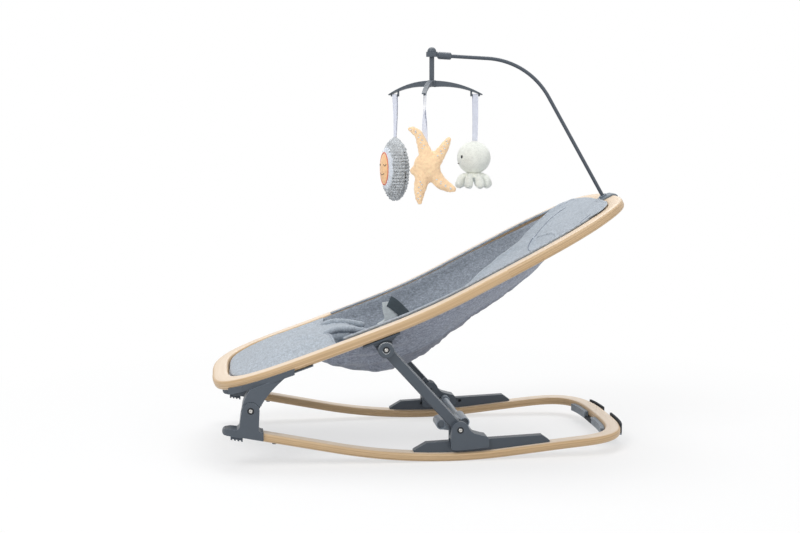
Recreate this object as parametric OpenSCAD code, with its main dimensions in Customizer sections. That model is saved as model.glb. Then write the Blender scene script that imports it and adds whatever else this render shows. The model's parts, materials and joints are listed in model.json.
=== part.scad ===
// Bouncer seat: a wooden hoop with a fabric sling, hinged on wooden rocking rails, with a toy arch.
// +X runs from the foot end to the head end, +Z is up, and the floor is Z = 0.
// The origin is on the floor below the middle of the hoop. The child's right side is +Y.

/* [Wooden hoop] */
// Length of the hoop over its two ends
hoop_len = 799; // [740:1:860]
// Half of the outer width at the foot end
hoop_foot_half = 194; // [185:1:200]
// Half of the outer width at the head end
hoop_head_half = 200; // [190:1:206]
// Length of the rounded foot end
hoop_foot_len = 186; // [150:1:220]
// Length of the rounded head end
hoop_head_len = 256; // [200:1:290]
// Width of the wood seen from above
hoop_w = 32; // [26:1:36]
// Thickness of the wood
hoop_t = 18; // [14:1:22]
// Radius of the wood's rounded edges, on the hoop and the rails
wood_edge = 6; // [2:0.5:6.5]
// Height of the hoop's middle line at the foot end
hoop_foot_z = 133; // [128:1:140]
// Slope of the hoop under the feet
hoop_foot_slope = 0.34; // [0.3:0.01:0.38]
// Slope of the hoop beside the seat
hoop_seat_slope = 0.37; // [0.35:0.01:0.4]
// Slope of the hoop beside the back
hoop_back_slope = 0.512; // [0.48:0.01:0.54]
// Slope of the hoop at its head end
hoop_head_slope = 0.3; // [0.2:0.01:0.4]

/* [Rocking rails] */
// How far each rail stands out past the side of the hoop's foot end
rail_out = 4; // [0:1:8]
// Width of a rail
rail_w = 30; // [26:1:34]
// Thickness of a rail
rail_t = 16; // [14:1:18]
// Radius of the curve that the rails rock on
rocker_r = 1067; // [950:1:1200]
// Where the rails touch the floor
rest_x = 35; // [20:1:55]
// Slope of the straight front stretch
rail_front_slope = 0.2; // [0.17:0.01:0.23]
// Slope of the straight rear stretch
rail_rear_slope = 0.1; // [0.08:0.01:0.12]
// Length of the bent rear end that joins the rails
rail_bend_len = 137; // [120:1:150]
// Where the rails end at the back, outside
rail_back_x = 389; // [370:1:392]

/* [Front hinge] */
// Place of the front hinge along the seat
front_pivot_x = -332.5; // [-337:0.5:-328]
// Height of the front hinge
front_pivot_z = 106; // [100:1:112]
// Radius of the round ears of the foot bracket
ear_r = 16; // [14:0.5:17]
// Thickness of the middle tongue of the seat arm
tongue_w = 16; // [12:0.5:18]
// Length of the seat arm's plate under the hoop
arm_plate_len = 120; // [110:1:135]
// Thickness of the plates under the hoop
plate_t = 5; // [4:0.5:6]
// Height of the plates' lip over the side of the hoop
lip_h = 6; // [5:0.5:9]
// Thickness of that lip
lip_t = 2.5; // [2:0.1:3]
// Radius of all the hinge pins
pin_r = 4; // [3:0.5:5]
// Radius of the hinge pins' heads
pin_head_r = 6; // [5.5:0.1:6.4]

/* [Foot pads] */
// Reach of the toe in front of the front hinge
toe_reach = 52; // [46:1:58]
// Length of the rubber pad
pad_len = 22; // [18:1:24]
// Height of the rubber pad below the rail's line
pad_h = 6; // [4:0.5:8]

/* [Struts and tracks] */
// Place of the strut's upper hinge along the seat
strut_top_x = -85.5; // [-91:0.5:-80]
// Drop of the upper hinge below the hoop's middle line
strut_drop = 32; // [30:1:34]
// Place of the strut's lower hinge along the track
strut_foot_x = 52; // [49:0.5:56]
// Width of a strut
strut_w = 20.5; // [18:0.5:23]
// Thickness of a strut
strut_t = 12; // [10:0.5:13]
// Radius of the round boss at the upper end of a strut
strut_boss_r = 15; // [13:0.5:16]
// Front end of the track
track_x0 = -34; // [-40:1:-28]
// Rear end of the track
track_x1 = 223; // [215:1:230]
// Width of the track
track_w = 16; // [14:0.5:18]
// Height of the track over the rail at its front
track_h = 18; // [16.5:0.5:19]
// Distance between two lock holes
lock_pitch = 41; // [38:1:44]
// Radius of the lock pin
lock_pin_r = 3; // [2.5:0.1:3.5]
// Length of the slider
slider_len = 71; // [66:1:74]
// Height of the slider's hinge over the track
slider_pivot_h = 22; // [20.5:0.1:23]
// Travel of the lock grip when it is pulled
lock_travel = 6; // [4:0.5:8]
// Radius of the lock grip's two lobes
grip_r = 9.5; // [8:0.5:10.5]
// Distance between the middles of the two lobes
grip_span = 44; // [40:1:48]
// Length of the grip's front lobe, across the seat
grip_len = 42; // [38:1:46]
// Length of its rear lobe
grip_rear_len = 58; // [50:1:62]

// Radius of the cross bar between the sliders
tie_r = 5.5; // [4.5:0.5:6]
// Radius of the locks' collars on the cross bar
collar_r = 8.5; // [8:0.5:10]
// Length of those collars
collar_len = 15; // [10:1:20]

/* [Toy arch] */
// Radius of the arch rod
rod_r = 3.6; // [3:0.1:4.5]
// Length of the straight stretch above the clip
rod_rise = 222.5; // [200:0.5:245]
// Lean of that stretch from upright
rod_lean = 30; // [26:0.5:34]
// Radius of the rod's bend
rod_bend_r = 150; // [130:1:170]
// Length of the straight stretch behind the sleeve
rod_tip = 72; // [60:1:85]
// Length of the sleeve at the rod's tip
sleeve_len = 27; // [22:1:32]
// Radius of the sleeve
sleeve_r = 7; // [6:0.25:8]
// Drop from the rod to the toy holder's arms
post_drop = 45; // [40:1:60]
// Radius from the post to the toy loops
hook_reach = 92; // [85:1:100]
// Length of an arm past its toy loop
arm_end = 14; // [10:1:18]

/* [Toys] */
// Width of the ribbons
ribbon_w = 12; // [9:0.5:14]
// Height of the long grey plush
oval_h = 126; // [110:1:140]
// Reach of the starfish plush's longest arm
star_r = 84; // [70:1:92]
// Radius of the octopus plush's head
octopus_r = 33; // [27:0.5:36]

/* [Fabric] */
// Depth of the sling below the hoop at its deepest place
sling_depth = 115; // [100:1:122]
// Thickness of the sling's cloth and wadding
sling_t = 9; // [6:0.5:11]
// Thickness of the leg liner
liner_t = 7; // [5:0.5:10]
// Thickness of the head pillow
pillow_t = 22; // [16:1:28]
// Width of the harness webbing
strap_w = 22; // [18:1:26]
// Thickness of the harness webbing
strap_t = 2; // [1.5:0.25:3]

/* [Hidden] */

rail_half = hoop_foot_half + rail_out;      // half of the outer width over the two rails
clear = 0.3;        // clearance between pieces that are put together
run = 0.05;         // radial running clearance of a pin in its bore
slack = 0.8;        // clearance between soft pieces
far = 600;          // past the end of the model
$fn = 48;

function total(v, i = 0) = i >= len(v) ? 0 : v[i] + total(v, i + 1);
function unit(v) = v / norm(v);

// Height gained from the first knot of k to x, where k lists [x, slope] pairs
function rise(x, k) = total([
  for (i = [0:len(k) - 2])
    let (a = k[i][0], b = min(max(x, a), k[i + 1][0]))
      (b - a) * (lookup(a, k) + lookup(b, k)) / 2
]);

// Side view of the hoop: straight under the feet, steeper along the back, flatter at the head
clip_over = 3.8;                            // how far the arch clip stands out past the hoop
hoop_x0 = -(hoop_len + clip_over) / 2;
hoop_x1 = hoop_x0 + hoop_len;
hoop_knots = [
  [-far, hoop_foot_slope + 0.015], [hoop_x0, hoop_foot_slope + 0.015],
  [hoop_x0 + hoop_len * 0.1602, hoop_foot_slope],
  [hoop_x0 + hoop_len * 0.4105, hoop_seat_slope], [hoop_x0 + hoop_len * 0.5982, hoop_back_slope],
  [hoop_x1 - hoop_len * 0.0914, hoop_back_slope],
  [hoop_x1, hoop_head_slope], [far, hoop_head_slope]
];
function hoop_slope(x) = lookup(x, hoop_knots);
function hoop_bank(x) = x > head_cx ? hoop_back_slope : hoop_slope(x);
function hoop_z(x) = hoop_foot_z + rise(x, hoop_knots) - rise(hoop_x0, hoop_knots);
function hoop_half_t(x) = hoop_t / 2 * norm([1, hoop_slope(x)]);
function hoop_under(x) = hoop_z(x) - hoop_half_t(x);

// Side view of the rails: a rocking curve between two straight stretches, level at the back
rail_knots = [
  [-far, -rail_front_slope], [rest_x - rocker_r * rail_front_slope, -rail_front_slope],
  [rest_x + rocker_r * rail_rear_slope, rail_rear_slope], [rail_back_x - 143, rail_rear_slope],
  [rail_back_x, 0.01], [far, 0.01]
];
function rail_slope(x) = lookup(x, rail_knots);
function rail_z(x) = rise(x, rail_knots) - rise(rest_x, rail_knots);
function rail_top(x) = rail_z(x) + rail_t * norm([1, rail_slope(x)]);

// Superellipse in polar form: radius at angle t for half axes a and b
function super_r(t, a, b, n) = pow(pow(abs(cos(t)) / a, n) + pow(abs(sin(t)) / b, n), -1 / n);
function super_end(cx, a, b, n, turns) = [
  for (t = turns) [cx + super_r(t, a, b, n) * cos(t), super_r(t, a, b, n) * sin(t)]
];

// Middle line of the hoop seen from above, anticlockwise from the right-hand start of the head end
foot_cx = hoop_x0 + hoop_foot_len;
head_cx = hoop_x1 - hoop_head_len;
foot_n = 3.6;                               // squareness of the foot end, the head end and the rear bend
head_n = 2.9;
rear_n = 3.4;
side_steps = 9;
function between(a, b, n) = [for (i = [1:n - 1]) a + (b - a) * i / n];
hoop_path = concat(
  super_end(head_cx, hoop_head_len - hoop_w / 2, hoop_head_half - hoop_w / 2, head_n, [-90:7.5:90]),
  between([head_cx, hoop_head_half - hoop_w / 2], [foot_cx, hoop_foot_half - hoop_w / 2], side_steps),
  super_end(foot_cx, hoop_foot_len - hoop_w / 2, hoop_foot_half - hoop_w / 2, foot_n, [90:7.5:270]),
  between([foot_cx, hoop_w / 2 - hoop_foot_half], [head_cx, hoop_w / 2 - hoop_head_half], side_steps)
);

// Middle line of the rails seen from above, from the left front end round the back
rail_y = rail_half - rail_w / 2;
rail_cx = rail_back_x - rail_bend_len;
rail_x0 = front_pivot_x - 8;
rail_steps = 22;
rail_path = concat(
  [[rail_x0, -rail_y]],
  between([rail_x0, -rail_y], [rail_cx, -rail_y], rail_steps),
  super_end(rail_cx, rail_bend_len - rail_w / 2, rail_y, rear_n, [-90:7.5:90]),
  between([rail_cx, rail_y], [rail_x0, rail_y], rail_steps),
  [[rail_x0, rail_y]]
);

// Outward normals of a plan line, and the line moved outwards by d
function step_at(p, i, loop) =
  let (n = len(p))
    loop ? p[(i + 1) % n] - p[(i + n - 1) % n] : p[min(i + 1, n - 1)] - p[max(i - 1, 0)];
function outward(p, i, loop) = let (s = step_at(p, i, loop)) unit([s[1], -s[0]]);
function moved(p, d, loop) = [for (i = [0:len(p) - 1]) p[i] + d * outward(p, i, loop)];

// Rounded rectangle as points, for a swept section
function rounded(w, h, r, n = 3) = [
  for (c = [[1, 1, 0], [-1, 1, 90], [-1, -1, 180], [1, -1, 270]], j = [0:n])
    [c[0] * (w / 2 - r) + r * cos(c[2] + 90 * j / n), c[1] * (h / 2 - r) + r * sin(c[2] + 90 * j / n)]
];

// Skin between rings of points; a closed skin joins the last ring to the first
module skin(rings, loop = false) {
  n = len(rings[0]);
  m = len(rings);
  sides = [
    for (i = [0:loop ? m - 1 : m - 2], j = [0:n - 1])
      let (a = i * n + j, b = i * n + (j + 1) % n, k = ((i + 1) % m) * n, c = k + j, d = k + (j + 1) % n)
        each [[a, b, d], [a, d, c]]
  ];
  caps = loop ? [] : [[for (j = [n - 1:-1:0]) j], [for (j = [0:n - 1]) (m - 1) * n + j]];
  polyhedron([for (r = rings) each r], concat(sides, caps), convexity = 10);
}

// Section ring of a bent wooden member at plan point i
function bent_ring(path, i, z, slope, bank, sec, loop) =
  let (
    s = step_at(path, i, loop),
    t = unit([s[0], s[1], slope(path[i][0]) * s[0]]),
    b = [-bank(path[i][0]), 0, 1],
    u = unit(b - t * (b * t)),
    v = cross(t, u),
    p = [path[i][0], path[i][1], z(path[i][0])]
  ) [for (c = sec) p + v * c[0] + u * c[1]];

// Side profile of a 2D shape in X and Z, thick from y0 to y1
module slab(y0, y1) {
  translate([0, y1, 0]) rotate([90, 0, 0]) linear_extrude(y1 - y0) children();
}

// Round bar across the seat
module bar(x, z, r, y0, y1) {
  translate([x, y1, z]) rotate([90, 0, 0]) cylinder(r = r, h = y1 - y0);
}

// What is drawn for the right side is mirrored for the left
module on_side(side) {
  if (side == "right") children();
  else mirror([0, 1, 0]) children();
}

// Band in the side view between two heights given by functions of x
function band(x0, x1, low, high, n = 12) = concat(
  [for (i = [0:n]) let (x = x0 + (x1 - x0) * i / n) [x, low(x)]],
  [for (i = [n:-1:0]) let (x = x0 + (x1 - x0) * i / n) [x, high(x)]]
);

// ---- Wood ----

module hoop() {
  sec = rounded(hoop_w, hoop_t, wood_edge);
  z = function (x) hoop_z(x);
  s = function (x) hoop_slope(x);
  b = function (x) hoop_bank(x);
  color([0.87, 0.76, 0.6])
    skin([for (i = [len(hoop_path) - 1:-1:0]) bent_ring(hoop_path, i, z, s, b, sec, true)], true);
}

module rocker_rails() {
  sec = rounded(rail_w, rail_t, wood_edge);
  z = function (x) (rail_z(x) + rail_top(x)) / 2;
  s = function (x) rail_slope(x);
  color([0.87, 0.76, 0.6])
    skin([for (i = [len(rail_path) - 1:-1:0]) bent_ring(rail_path, i, z, s, s, sec, false)]);
}

// ---- Front hinge: foot bracket, rubber pad, seat arm ----

wall = 3;                                   // wall of the foot bracket beside the rail
rail_end = rail_t / 2 * rail_front_slope;   // how far the foot of the rail's square-cut end stands out
bracket_y0 = rail_half - rail_w - wall;     // inner face of the brackets
bracket_y1 = rail_half + wall;              // outer face of the brackets
bracket_mid = (bracket_y0 + bracket_y1) / 2;
tongue_y0 = bracket_mid - tongue_w / 2;
tongue_y1 = bracket_mid + tongue_w / 2;
head_t = 1.7;                               // thickness of a hinge pin's head
recess = 2;                                 // depth of the recess for that head
socket_x1 = front_pivot_x + 22.5;            // rear end of the socket on the rail
toe_x0 = front_pivot_x - toe_reach;
toe_end_r = 5.8;                            // radius of the toe's rounded tip
toe_z = rail_z(front_pivot_x - 24) + 10.8;  // middle height of the toe

module foot_bracket(side) {
  px = front_pivot_x;
  pz = front_pivot_z;
  low = function (x) rail_z(x) + 2;
  high = function (x) rail_top(x) + 1.6;
  in_low = function (x) rail_z(x) - 9;
  in_high = function (x) rail_top(x) + clear;
  toe_r = (bracket_y1 - bracket_y0) / 2;
  color([0.29, 0.33, 0.38]) on_side(side) difference() {
    union() {
      slab(bracket_y0, bracket_y1) {
        polygon(band(px - 16, socket_x1, low, high));
        polygon([
          [px + ear_r - 1.8, toe_z - 6], [px + ear_r - 1.6, toe_z + 8], [px + ear_r, pz], [px - ear_r, pz],
          [px - ear_r - 2.5, pz - 12], [px - ear_r - 5, toe_z + 4], [px - ear_r - 5, toe_z - 8]
        ]);
        // fillets where the column meets the toe and the socket
        polygon([
          [px - ear_r - 4, toe_z + 10.5], [px - ear_r - 6, toe_z + 6.6], [px - ear_r - 10, toe_z + 4],
          [px - ear_r + 4, toe_z]
        ]);
        polygon([
          [px + ear_r - 2, rail_top(px + 20) + 6], [px + ear_r - 0.4, rail_top(px + 20) + 3.4],
          [px + ear_r + 3, rail_top(px + 20) + 1.4], [px + ear_r - 4, rail_top(px + 20)]
        ]);
        translate([px, pz]) circle(ear_r);
      }
      intersection() {
        slab(bracket_y0, bracket_y1) union() {
          translate([toe_x0 + toe_end_r, toe_z]) circle(toe_end_r);
          polygon([
            [toe_x0 + 4, toe_z - 5.5], [toe_x0 + 16, toe_z - 7], [toe_x0 + 26, toe_z - 9.4],
            [px - 14, low(px - 14)], [px - 14, toe_z + 3], [px - ear_r - 6, toe_z + 4],
            [toe_x0 + 16, toe_z + 5.8], [toe_x0 + 5, toe_z + toe_end_r - 0.1]
          ]);
        }
        union() {
          translate([toe_x0 + toe_r, bracket_mid, 0]) cylinder(r = toe_r, h = pz);
          translate([toe_x0 + toe_r, bracket_y0, 0]) cube([toe_reach, 2 * toe_r, pz]);
        }
      }
    }
    // pocket for the end of the rail, open below
    slab(bracket_y0 + wall - clear, bracket_y1 - wall + clear)
      polygon(band(rail_x0 - rail_end - clear, socket_x1 + 9, in_low, in_high));
    // pocket for the rubber pad
    slab(pad_y0 - clear, pad_y1 + clear) polygon(band(pad_x0 - clear, pad_x1 + clear, pad_low, pad_seat, 2));
    // slot that the seat arm's tongue turns in
    slab(tongue_y0 - clear, tongue_y1 + clear) {
      translate([px - 40, pz - 7]) square([80, 40]);
      translate([px, pz]) circle(ear_r + 1);
    }
    bar(px, pz, pin_r + run, bracket_y0 - 1, bracket_y1 + 1);
    bar(px, pz, pin_head_r + 0.5, bracket_y1 - recess, bracket_y1 + 1);
  }
}

pad_x0 = toe_x0 + 15;
pad_x1 = pad_x0 + pad_len;
pad_y0 = bracket_y0 + 4;
pad_y1 = bracket_y1 - 4;
pad_low = function (x) rail_z(x) - pad_h;
pad_seat = function (x) rail_z(x) + 1.5;
module foot_pad(side) {
  rib = pad_len / 7;
  high = function (x) pad_seat(x) - clear;
  groove = function (x) pad_low(x) + 2.2;
  floor_line = function (x) pad_low(x) - 1;
  color([0.18, 0.2, 0.23]) on_side(side) difference() {
    slab(pad_y0, pad_y1) polygon(band(pad_x0, pad_x1, pad_low, high, 2));
    for (i = [0:2]) let (x = pad_x0 + (1 + 2 * i) * rib)
      slab(pad_y0 - 1, pad_y1 + 1) polygon(band(x, x + rib, floor_line, groove, 2));
  }
}

// Level of the seat arm's loft at height h over the hinge: the arm leans back as it rises
function arm_level(h) =
  let (
    a = front_pivot_x - ear_r + 0.2 + 0.0109 * h * h,
    b = front_pivot_x + ear_r + 0.107 * pow(h, 1.5),
    z = front_pivot_z + h,
    y0 = bracket_y0 - 0.14 * max(0, h - 8),
    y1 = bracket_y1 - 0.19 * max(0, h - 8)
  ) [[a, y0, z], [a, y1, z], [b, y1, z], [b, y0, z]];

arm_x0 = hoop_x0 + 29;
arm_x1 = arm_x0 + arm_plate_len;
function plate_low(x) = hoop_under(x) - clear - plate_t;

// Plate under the hoop from x0 to x1, following the wood's plan, with an outer lip of height lip
module under_plate(x0, x1, lip, t = plate_t) {
  low = function (x) hoop_under(x) - clear - t;
  top = function (x) hoop_under(x) - clear;
  lip_top = function (x) hoop_under(x) + lip;
  out = lip > 0 ? clear + lip_t : 0;
  intersection() {
    slab(0, bracket_y1 + 20) polygon(band(x0, x1, low, top));
    translate([0, 0, -1]) linear_extrude(far) difference() {
      polygon(moved(hoop_path, hoop_w / 2 + out, true));
      polygon(moved(hoop_path, 3 - hoop_w / 2, true));
    }
  }
  if (lip > 0) intersection() {
    slab(0, bracket_y1 + 20) polygon(band(x0, x1, low, lip_top));
    translate([0, 0, -1]) linear_extrude(far) difference() {
      polygon(moved(hoop_path, hoop_w / 2 + out, true));
      polygon(moved(hoop_path, hoop_w / 2 + clear, true));
    }
  }
}

module seat_arm(side) {
  px = front_pivot_x;
  pz = front_pivot_z;
  y0 = bracket_y0;
  y1 = bracket_y1;
  neck = ear_r - 1.5;
  in_plate = function (x) plate_low(x) + 2;
  floor_line = function (x) -20;
  color([0.29, 0.33, 0.38]) on_side(side) difference() {
    union() {
      under_plate(arm_x0, arm_x1, lip_h);
      under_plate(arm_x1 - 1, arm_x1 + 34, 0, 2.2);
      intersection() {
        skin([for (h = [3, 12, 20, 28, 36, 44, 52, 60, 68]) arm_level(h)]);
        slab(y0 - 30, y1 + 30) polygon(band(px - 40, px + 90, floor_line, in_plate));
      }
      slab(tongue_y0, tongue_y1) {
        translate([px, pz]) circle(neck);
        translate([px - neck, pz]) square([2 * neck, 12]);
      }
    }
    // room for the foot bracket's ears on both sides of the tongue
    for (y = [[y0 - 20, tongue_y0], [tongue_y1, y1 + 20]])
      slab(y[0], y[1]) {
        translate([px, pz]) circle(ear_r + 0.6);
        translate([px - 60, pz - 60]) square([120, 60 + 8.5]);
      }
    bar(px, pz, pin_r + run, y0 - 1, y1 + 1);
  }
}

module front_hinge_pins() {
  color([0.7, 0.7, 0.72]) for (side = ["left", "right"])
    on_side(side) hinge_pin(front_pivot_x, front_pivot_z, bracket_y0 + 1, bracket_y1);
}

// Pin with a flat socket head, from y0 to the recess in the face at y1
module hinge_pin(x, z, y0, y1) {
  seat = y1 - recess + run;
  difference() {
    union() {
      bar(x, z, pin_r, y0, seat + 0.1);
      bar(x, z, pin_head_r, seat, seat + head_t);
    }
    translate([x, seat + head_t + 1, z]) rotate([90, 0, 0]) cylinder(r = 2.3, h = 2.2, $fn = 6);
  }
}

module rail_screws() {
  x = socket_x1 + 20;
  color([0.25, 0.27, 0.3]) for (side = ["left", "right"])
    on_side(side) translate([x, rail_y, rail_z(x) - slack - 2.2]) cylinder(r = 4, h = 2.2);
}

// ---- Tracks, sliders and lock ----

track_y1 = rail_half - 7;
track_y0 = track_y1 - track_w;
chamfer = 24;
track_a = [track_x0 + chamfer, rail_top(track_x0 + chamfer) + track_h];
track_b = [track_x1 - chamfer * 0.6, rail_top(track_x1 - chamfer * 0.6) + track_h - 2.8];
track_slope = (track_b[1] - track_a[1]) / (track_b[0] - track_a[0]);
function track_z(x) = track_a[1] + (x - track_a[0]) * track_slope;
lock_x = strut_foot_x + 22;                // where the lock pins sit along the tracks
lock_drop = 6.5;                            // depth of the lock holes below the track's top
lock_z = track_z(lock_x) - lock_drop;
tie_x = lock_x + 8;                         // middle of the cross bar
tie_z = lock_z + 7.5;
bar_seat = 4;                               // depth of the bar's seats in the sliders' walls

module track(side) {
  low = function (x) rail_top(x) + clear;
  color([0.27, 0.31, 0.36]) on_side(side) difference() {
    slab(track_y0, track_y1) polygon(concat(
      [for (i = [0:16]) let (x = track_x0 + (track_x1 - track_x0) * i / 16) [x, low(x)]],
      [[track_x1, low(track_x1) + 3], track_b, track_a, [track_x0, low(track_x0) + 3]]
    ));
    for (i = [-1:1]) let (x = lock_x + i * lock_pitch)
      bar(x, track_z(x) - lock_drop, lock_pin_r + clear, track_y0 - 1, track_y0 + 8);
  }
}

slider_wall = 5;                            // wall of the slider beside the track
slider_y0 = track_y0 - clear - slider_wall;
slider_y1 = rail_half + wall;
strut_y1 = slider_y1 - 11;
strut_y0 = strut_y1 - strut_t;
slider_gap = 3.8;                           // free height between the track and the slider's bridge
slider_x0 = strut_foot_x - 17.5;
foot_z = track_z(strut_foot_x) + slider_pivot_h;

module slider(side) {
  px = strut_foot_x;
  pz = foot_z;
  x1 = slider_x0 + slider_len;
  color([0.29, 0.33, 0.38]) on_side(side) difference() {
    slab(slider_y0, slider_y1) {
      polygon([
        [slider_x0, rail_top(slider_x0) + 10], [slider_x0 + 2, rail_top(slider_x0) + 7.4],
        [slider_x0 + 6, rail_top(slider_x0) + 6.2], [px, rail_top(px) + 5.8],
        [px + 25, rail_top(px + 25) + 6.4], [x1 - 2, rail_top(x1) + 7.6], [x1, rail_top(x1) + 10],
        [x1, track_z(x1) + 2.6], [x1 - 4, track_z(x1) + 7], [px + 42, pz - 11.4], [px + 27, pz - 7],
        [px + 20, pz - 2.6], [px + 16.3, pz + 2], [px, pz], [px - 16, pz + 1], [slider_x0, pz - 8]
      ]);
      translate([px, pz]) circle(ear_r);
    }
    // channel over the track
    slab(track_y0 - clear, track_y1 + clear) polygon([
      [slider_x0 - 5, track_z(slider_x0 - 5) - 30], [x1 + 5, track_z(x1 + 5) - 30],
      [x1 + 5, track_z(x1 + 5) + slider_gap], [slider_x0 - 5, track_z(slider_x0 - 5) + slider_gap]
    ]);
    // room between the ears for the strut
    slab(strut_y0 - clear, strut_y1 + clear) {
      translate([px - 40, pz - strut_w / 2 - 3]) square([52, 60]);
      translate([px, pz]) circle(strut_w / 2 + 2);
    }
    bar(px, pz, pin_r + run, slider_y0 - 1, slider_y1 + 1);
    bar(px, pz, pin_head_r + 0.5, slider_y1 - recess, slider_y1 + 1);
    bar(lock_x, lock_z, lock_pin_r + run, slider_y0 - 1, track_y0);
    bar(tie_x, tie_z, tie_r + run, slider_y0 - 1, slider_y0 + bar_seat);
  }
}

module slider_pin(side) {
  color([0.7, 0.7, 0.72])
    on_side(side) hinge_pin(strut_foot_x, foot_z, slider_y0 + 1, slider_y1);
}

// The two sliders are tied by a round bar; a lock slides along it beside each slider
lock_out = slider_y0 - clear;               // the locks' face beside the slider
module cross_bar() {
  end = slider_y0 + bar_seat - clear;
  color([0.62, 0.66, 0.7]) bar(tie_x, tie_z, tie_r, -end, end);
}

// Collar on the cross bar with the lock pin, which passes through the slider's wall to the track
module lock_collar() {
  bar(tie_x, tie_z, collar_r, lock_out - collar_len, lock_out);
  slab(lock_out - 5, lock_out) {
    translate([lock_x, lock_z]) circle(lock_pin_r + 2.5);
    polygon([
      [lock_x - 3.9, lock_z + 3.9], [lock_x + 3.9, lock_z - 3.9],
        [tie_x + 5.5, tie_z - 6], [tie_x - 6, tie_z + 5.5]
    ]);
  }
  bar(lock_x, lock_z, lock_pin_r, lock_out - 4, track_y0 - clear);
}
module tie_bore() {
  bar(tie_x, tie_z, tie_r + run, lock_out - collar_len - 1, lock_out + 1);
}

module lock_knob() {
  color([0.36, 0.4, 0.45]) on_side("right") difference() {
    lock_collar();
    tie_bore();
  }
}

// The left lock has a grip of two round lobes
module lock_grip() {
  x0 = strut_foot_x - 9 - grip_span / 2;
  x1 = x0 + grip_span;
  z0 = foot_z + 4.5;
  z1 = z0 + 3;
  web = grip_r * 0.7;
  color([0.36, 0.4, 0.45]) on_side("left") difference() {
    union() {
      lock_collar();
      bar(x0, z0, grip_r, lock_out - grip_len, lock_out);
      bar(x1, z1, grip_r, lock_out - grip_rear_len, lock_out);
      slab(lock_out - grip_len + 6, lock_out - 4)
        polygon([[x0, z0 - web], [x1, z1 - web], [x1, z1 + web], [x0, z0 + web]]);
      slab(lock_out - 6, lock_out) polygon([
        [x0, z0 - grip_r + 0.3], [x0 + 16, z0 - grip_r - 2], [lock_x - 18, z0 - grip_r - 9],
        [lock_x - 5.5, lock_z], [tie_x - 3, tie_z + 4], [x1 + 6, z1 - 6], [x1, z1], [x0, z0 + 3]
      ]);
    }
    tie_bore();
    for (c = [[x0, z0], [x1, z1]]) bar(c[0], c[1], grip_r - 2, lock_out - 7, lock_out + 1);
  }
}

// ---- Strut and its bracket under the hoop ----

top_z = hoop_z(strut_top_x) - strut_drop;
strut_dx = strut_foot_x - strut_top_x;
strut_dz = foot_z - top_z;
strut_len = norm([strut_dx, strut_dz]);
strut_tilt = atan2(strut_dz, strut_dx);
shroud_y1 = bracket_y1 - 4;

module strut_line() {
  translate([strut_top_x, 0, top_z]) rotate([0, -strut_tilt, 0]) children();
}

module strut(side) {
  boss_y1 = shroud_y1 + 2;
  e = 1.6;
  w = strut_w / 2;
  color([0.29, 0.33, 0.38]) on_side(side) difference() {
    union() {
      // the bar, bevelled along its outer edges
      strut_line() rotate([90, 0, 90]) linear_extrude(strut_len) polygon([
        [strut_y0, -w], [strut_y1 - e, -w], [strut_y1, e - w], [strut_y1, w - e], [strut_y1 - e, w],
        [strut_y0, w]
      ]);
      bar(strut_foot_x, foot_z, w + 0.3, strut_y0, strut_y1 - e);
      bar(strut_top_x, top_z, strut_boss_r, strut_y0, boss_y1 - 1);
      translate([strut_top_x, boss_y1 - 1, top_z]) rotate([-90, 0, 0])
        cylinder(r1 = strut_boss_r, r2 = strut_boss_r - 1, h = 1);
    }
    bar(strut_top_x, top_z, pin_r + run, strut_y0 - 1, boss_y1 + 1);
    bar(strut_top_x, top_z, pin_head_r + 0.5, boss_y1 - recess, boss_y1 + 1);
    bar(strut_foot_x, foot_z, pin_r + run, strut_y0 - 1, strut_y1 + 1);
    // long shallow recess on the inner face
    strut_line() translate([26, strut_y0 - 1, 3 - w]) cube([strut_len - 52, 5, strut_w - 6]);
  }
}

module strut_bracket(side) {
  x = strut_top_x;
  z = top_z;
  x0 = x - 41;
  x1 = x + 26;
  plate_y0 = bracket_y0 - 1;
  top = function (q) hoop_under(q) - clear - 1;
  color([0.25, 0.28, 0.33]) on_side(side) difference() {
    union() {
      under_plate(x0, x1, 0, 3.5);
      slab(plate_y0, shroud_y1 - 3) {
        polygon([
          [x - 25, top(x - 25)], [x - 21, z + 6], [x - 15, z - 2],
          [x - strut_boss_r * 0.6, z - strut_boss_r * 0.8],
          [x + strut_boss_r * 0.6, z - strut_boss_r * 0.8], [x + 14, z + 6], [x + 12.5, z + 17],
          [x + 18, z + 24], [x + 25, top(x + 25) - 3], [x + 25, top(x + 25)]
        ]);
        translate([x, z]) circle(strut_boss_r);
      }
    }
    // room for the strut outside the plate
    slab(strut_y0 - clear, bracket_y1 + 9) {
      translate([x, z]) circle(strut_boss_r + 0.8);
      polygon([
        [x - 12, z + 9], [x - 24, z + 5], [x - 80, z - 60],
        [x + 80, z - 60], [x + 80, z + 38], [x + 3, z + 15]
      ]);
    }
    bar(x, z, pin_r + run, plate_y0 - 1, bracket_y1 + 9);
  }
}

module strut_top_pins() {
  color([0.7, 0.7, 0.72]) for (side = ["left", "right"])
    on_side(side) hinge_pin(strut_top_x, top_z, bracket_y0, shroud_y1 + 2);
}

// ---- Rear clips on the cross-piece ----

clip_half = 112;                            // outer reach of a rear clip from the middle
clip_in = [15, 36];                         // inner ends of the left and the right clip
clip_low = 3;                               // thickness of the plate under the wood
clip_wall = 8;                              // its thickness beside the wood, inside the bend
clip_base = rail_z(rail_back_x - 40) - clear - clip_low;
function inner_end(side) = clip_in[side == "left" ? 0 : 1];

// Ring between two offsets from the rails' middle line, cut to one clip's stretch
module rear_ring(d0, d1, y0, y1) {
  intersection() {
    difference() {
      polygon(concat(moved(rail_path, d1, false), [[rail_x0 - 9, rail_y], [rail_x0 - 9, -rail_y]]));
      polygon(concat(moved(rail_path, d0, false), [[rail_x0 - 9, rail_y], [rail_x0 - 9, -rail_y]]));
    }
    translate([rail_cx, y0]) square([rail_bend_len + 40, y1 - y0]);
  }
}

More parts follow.
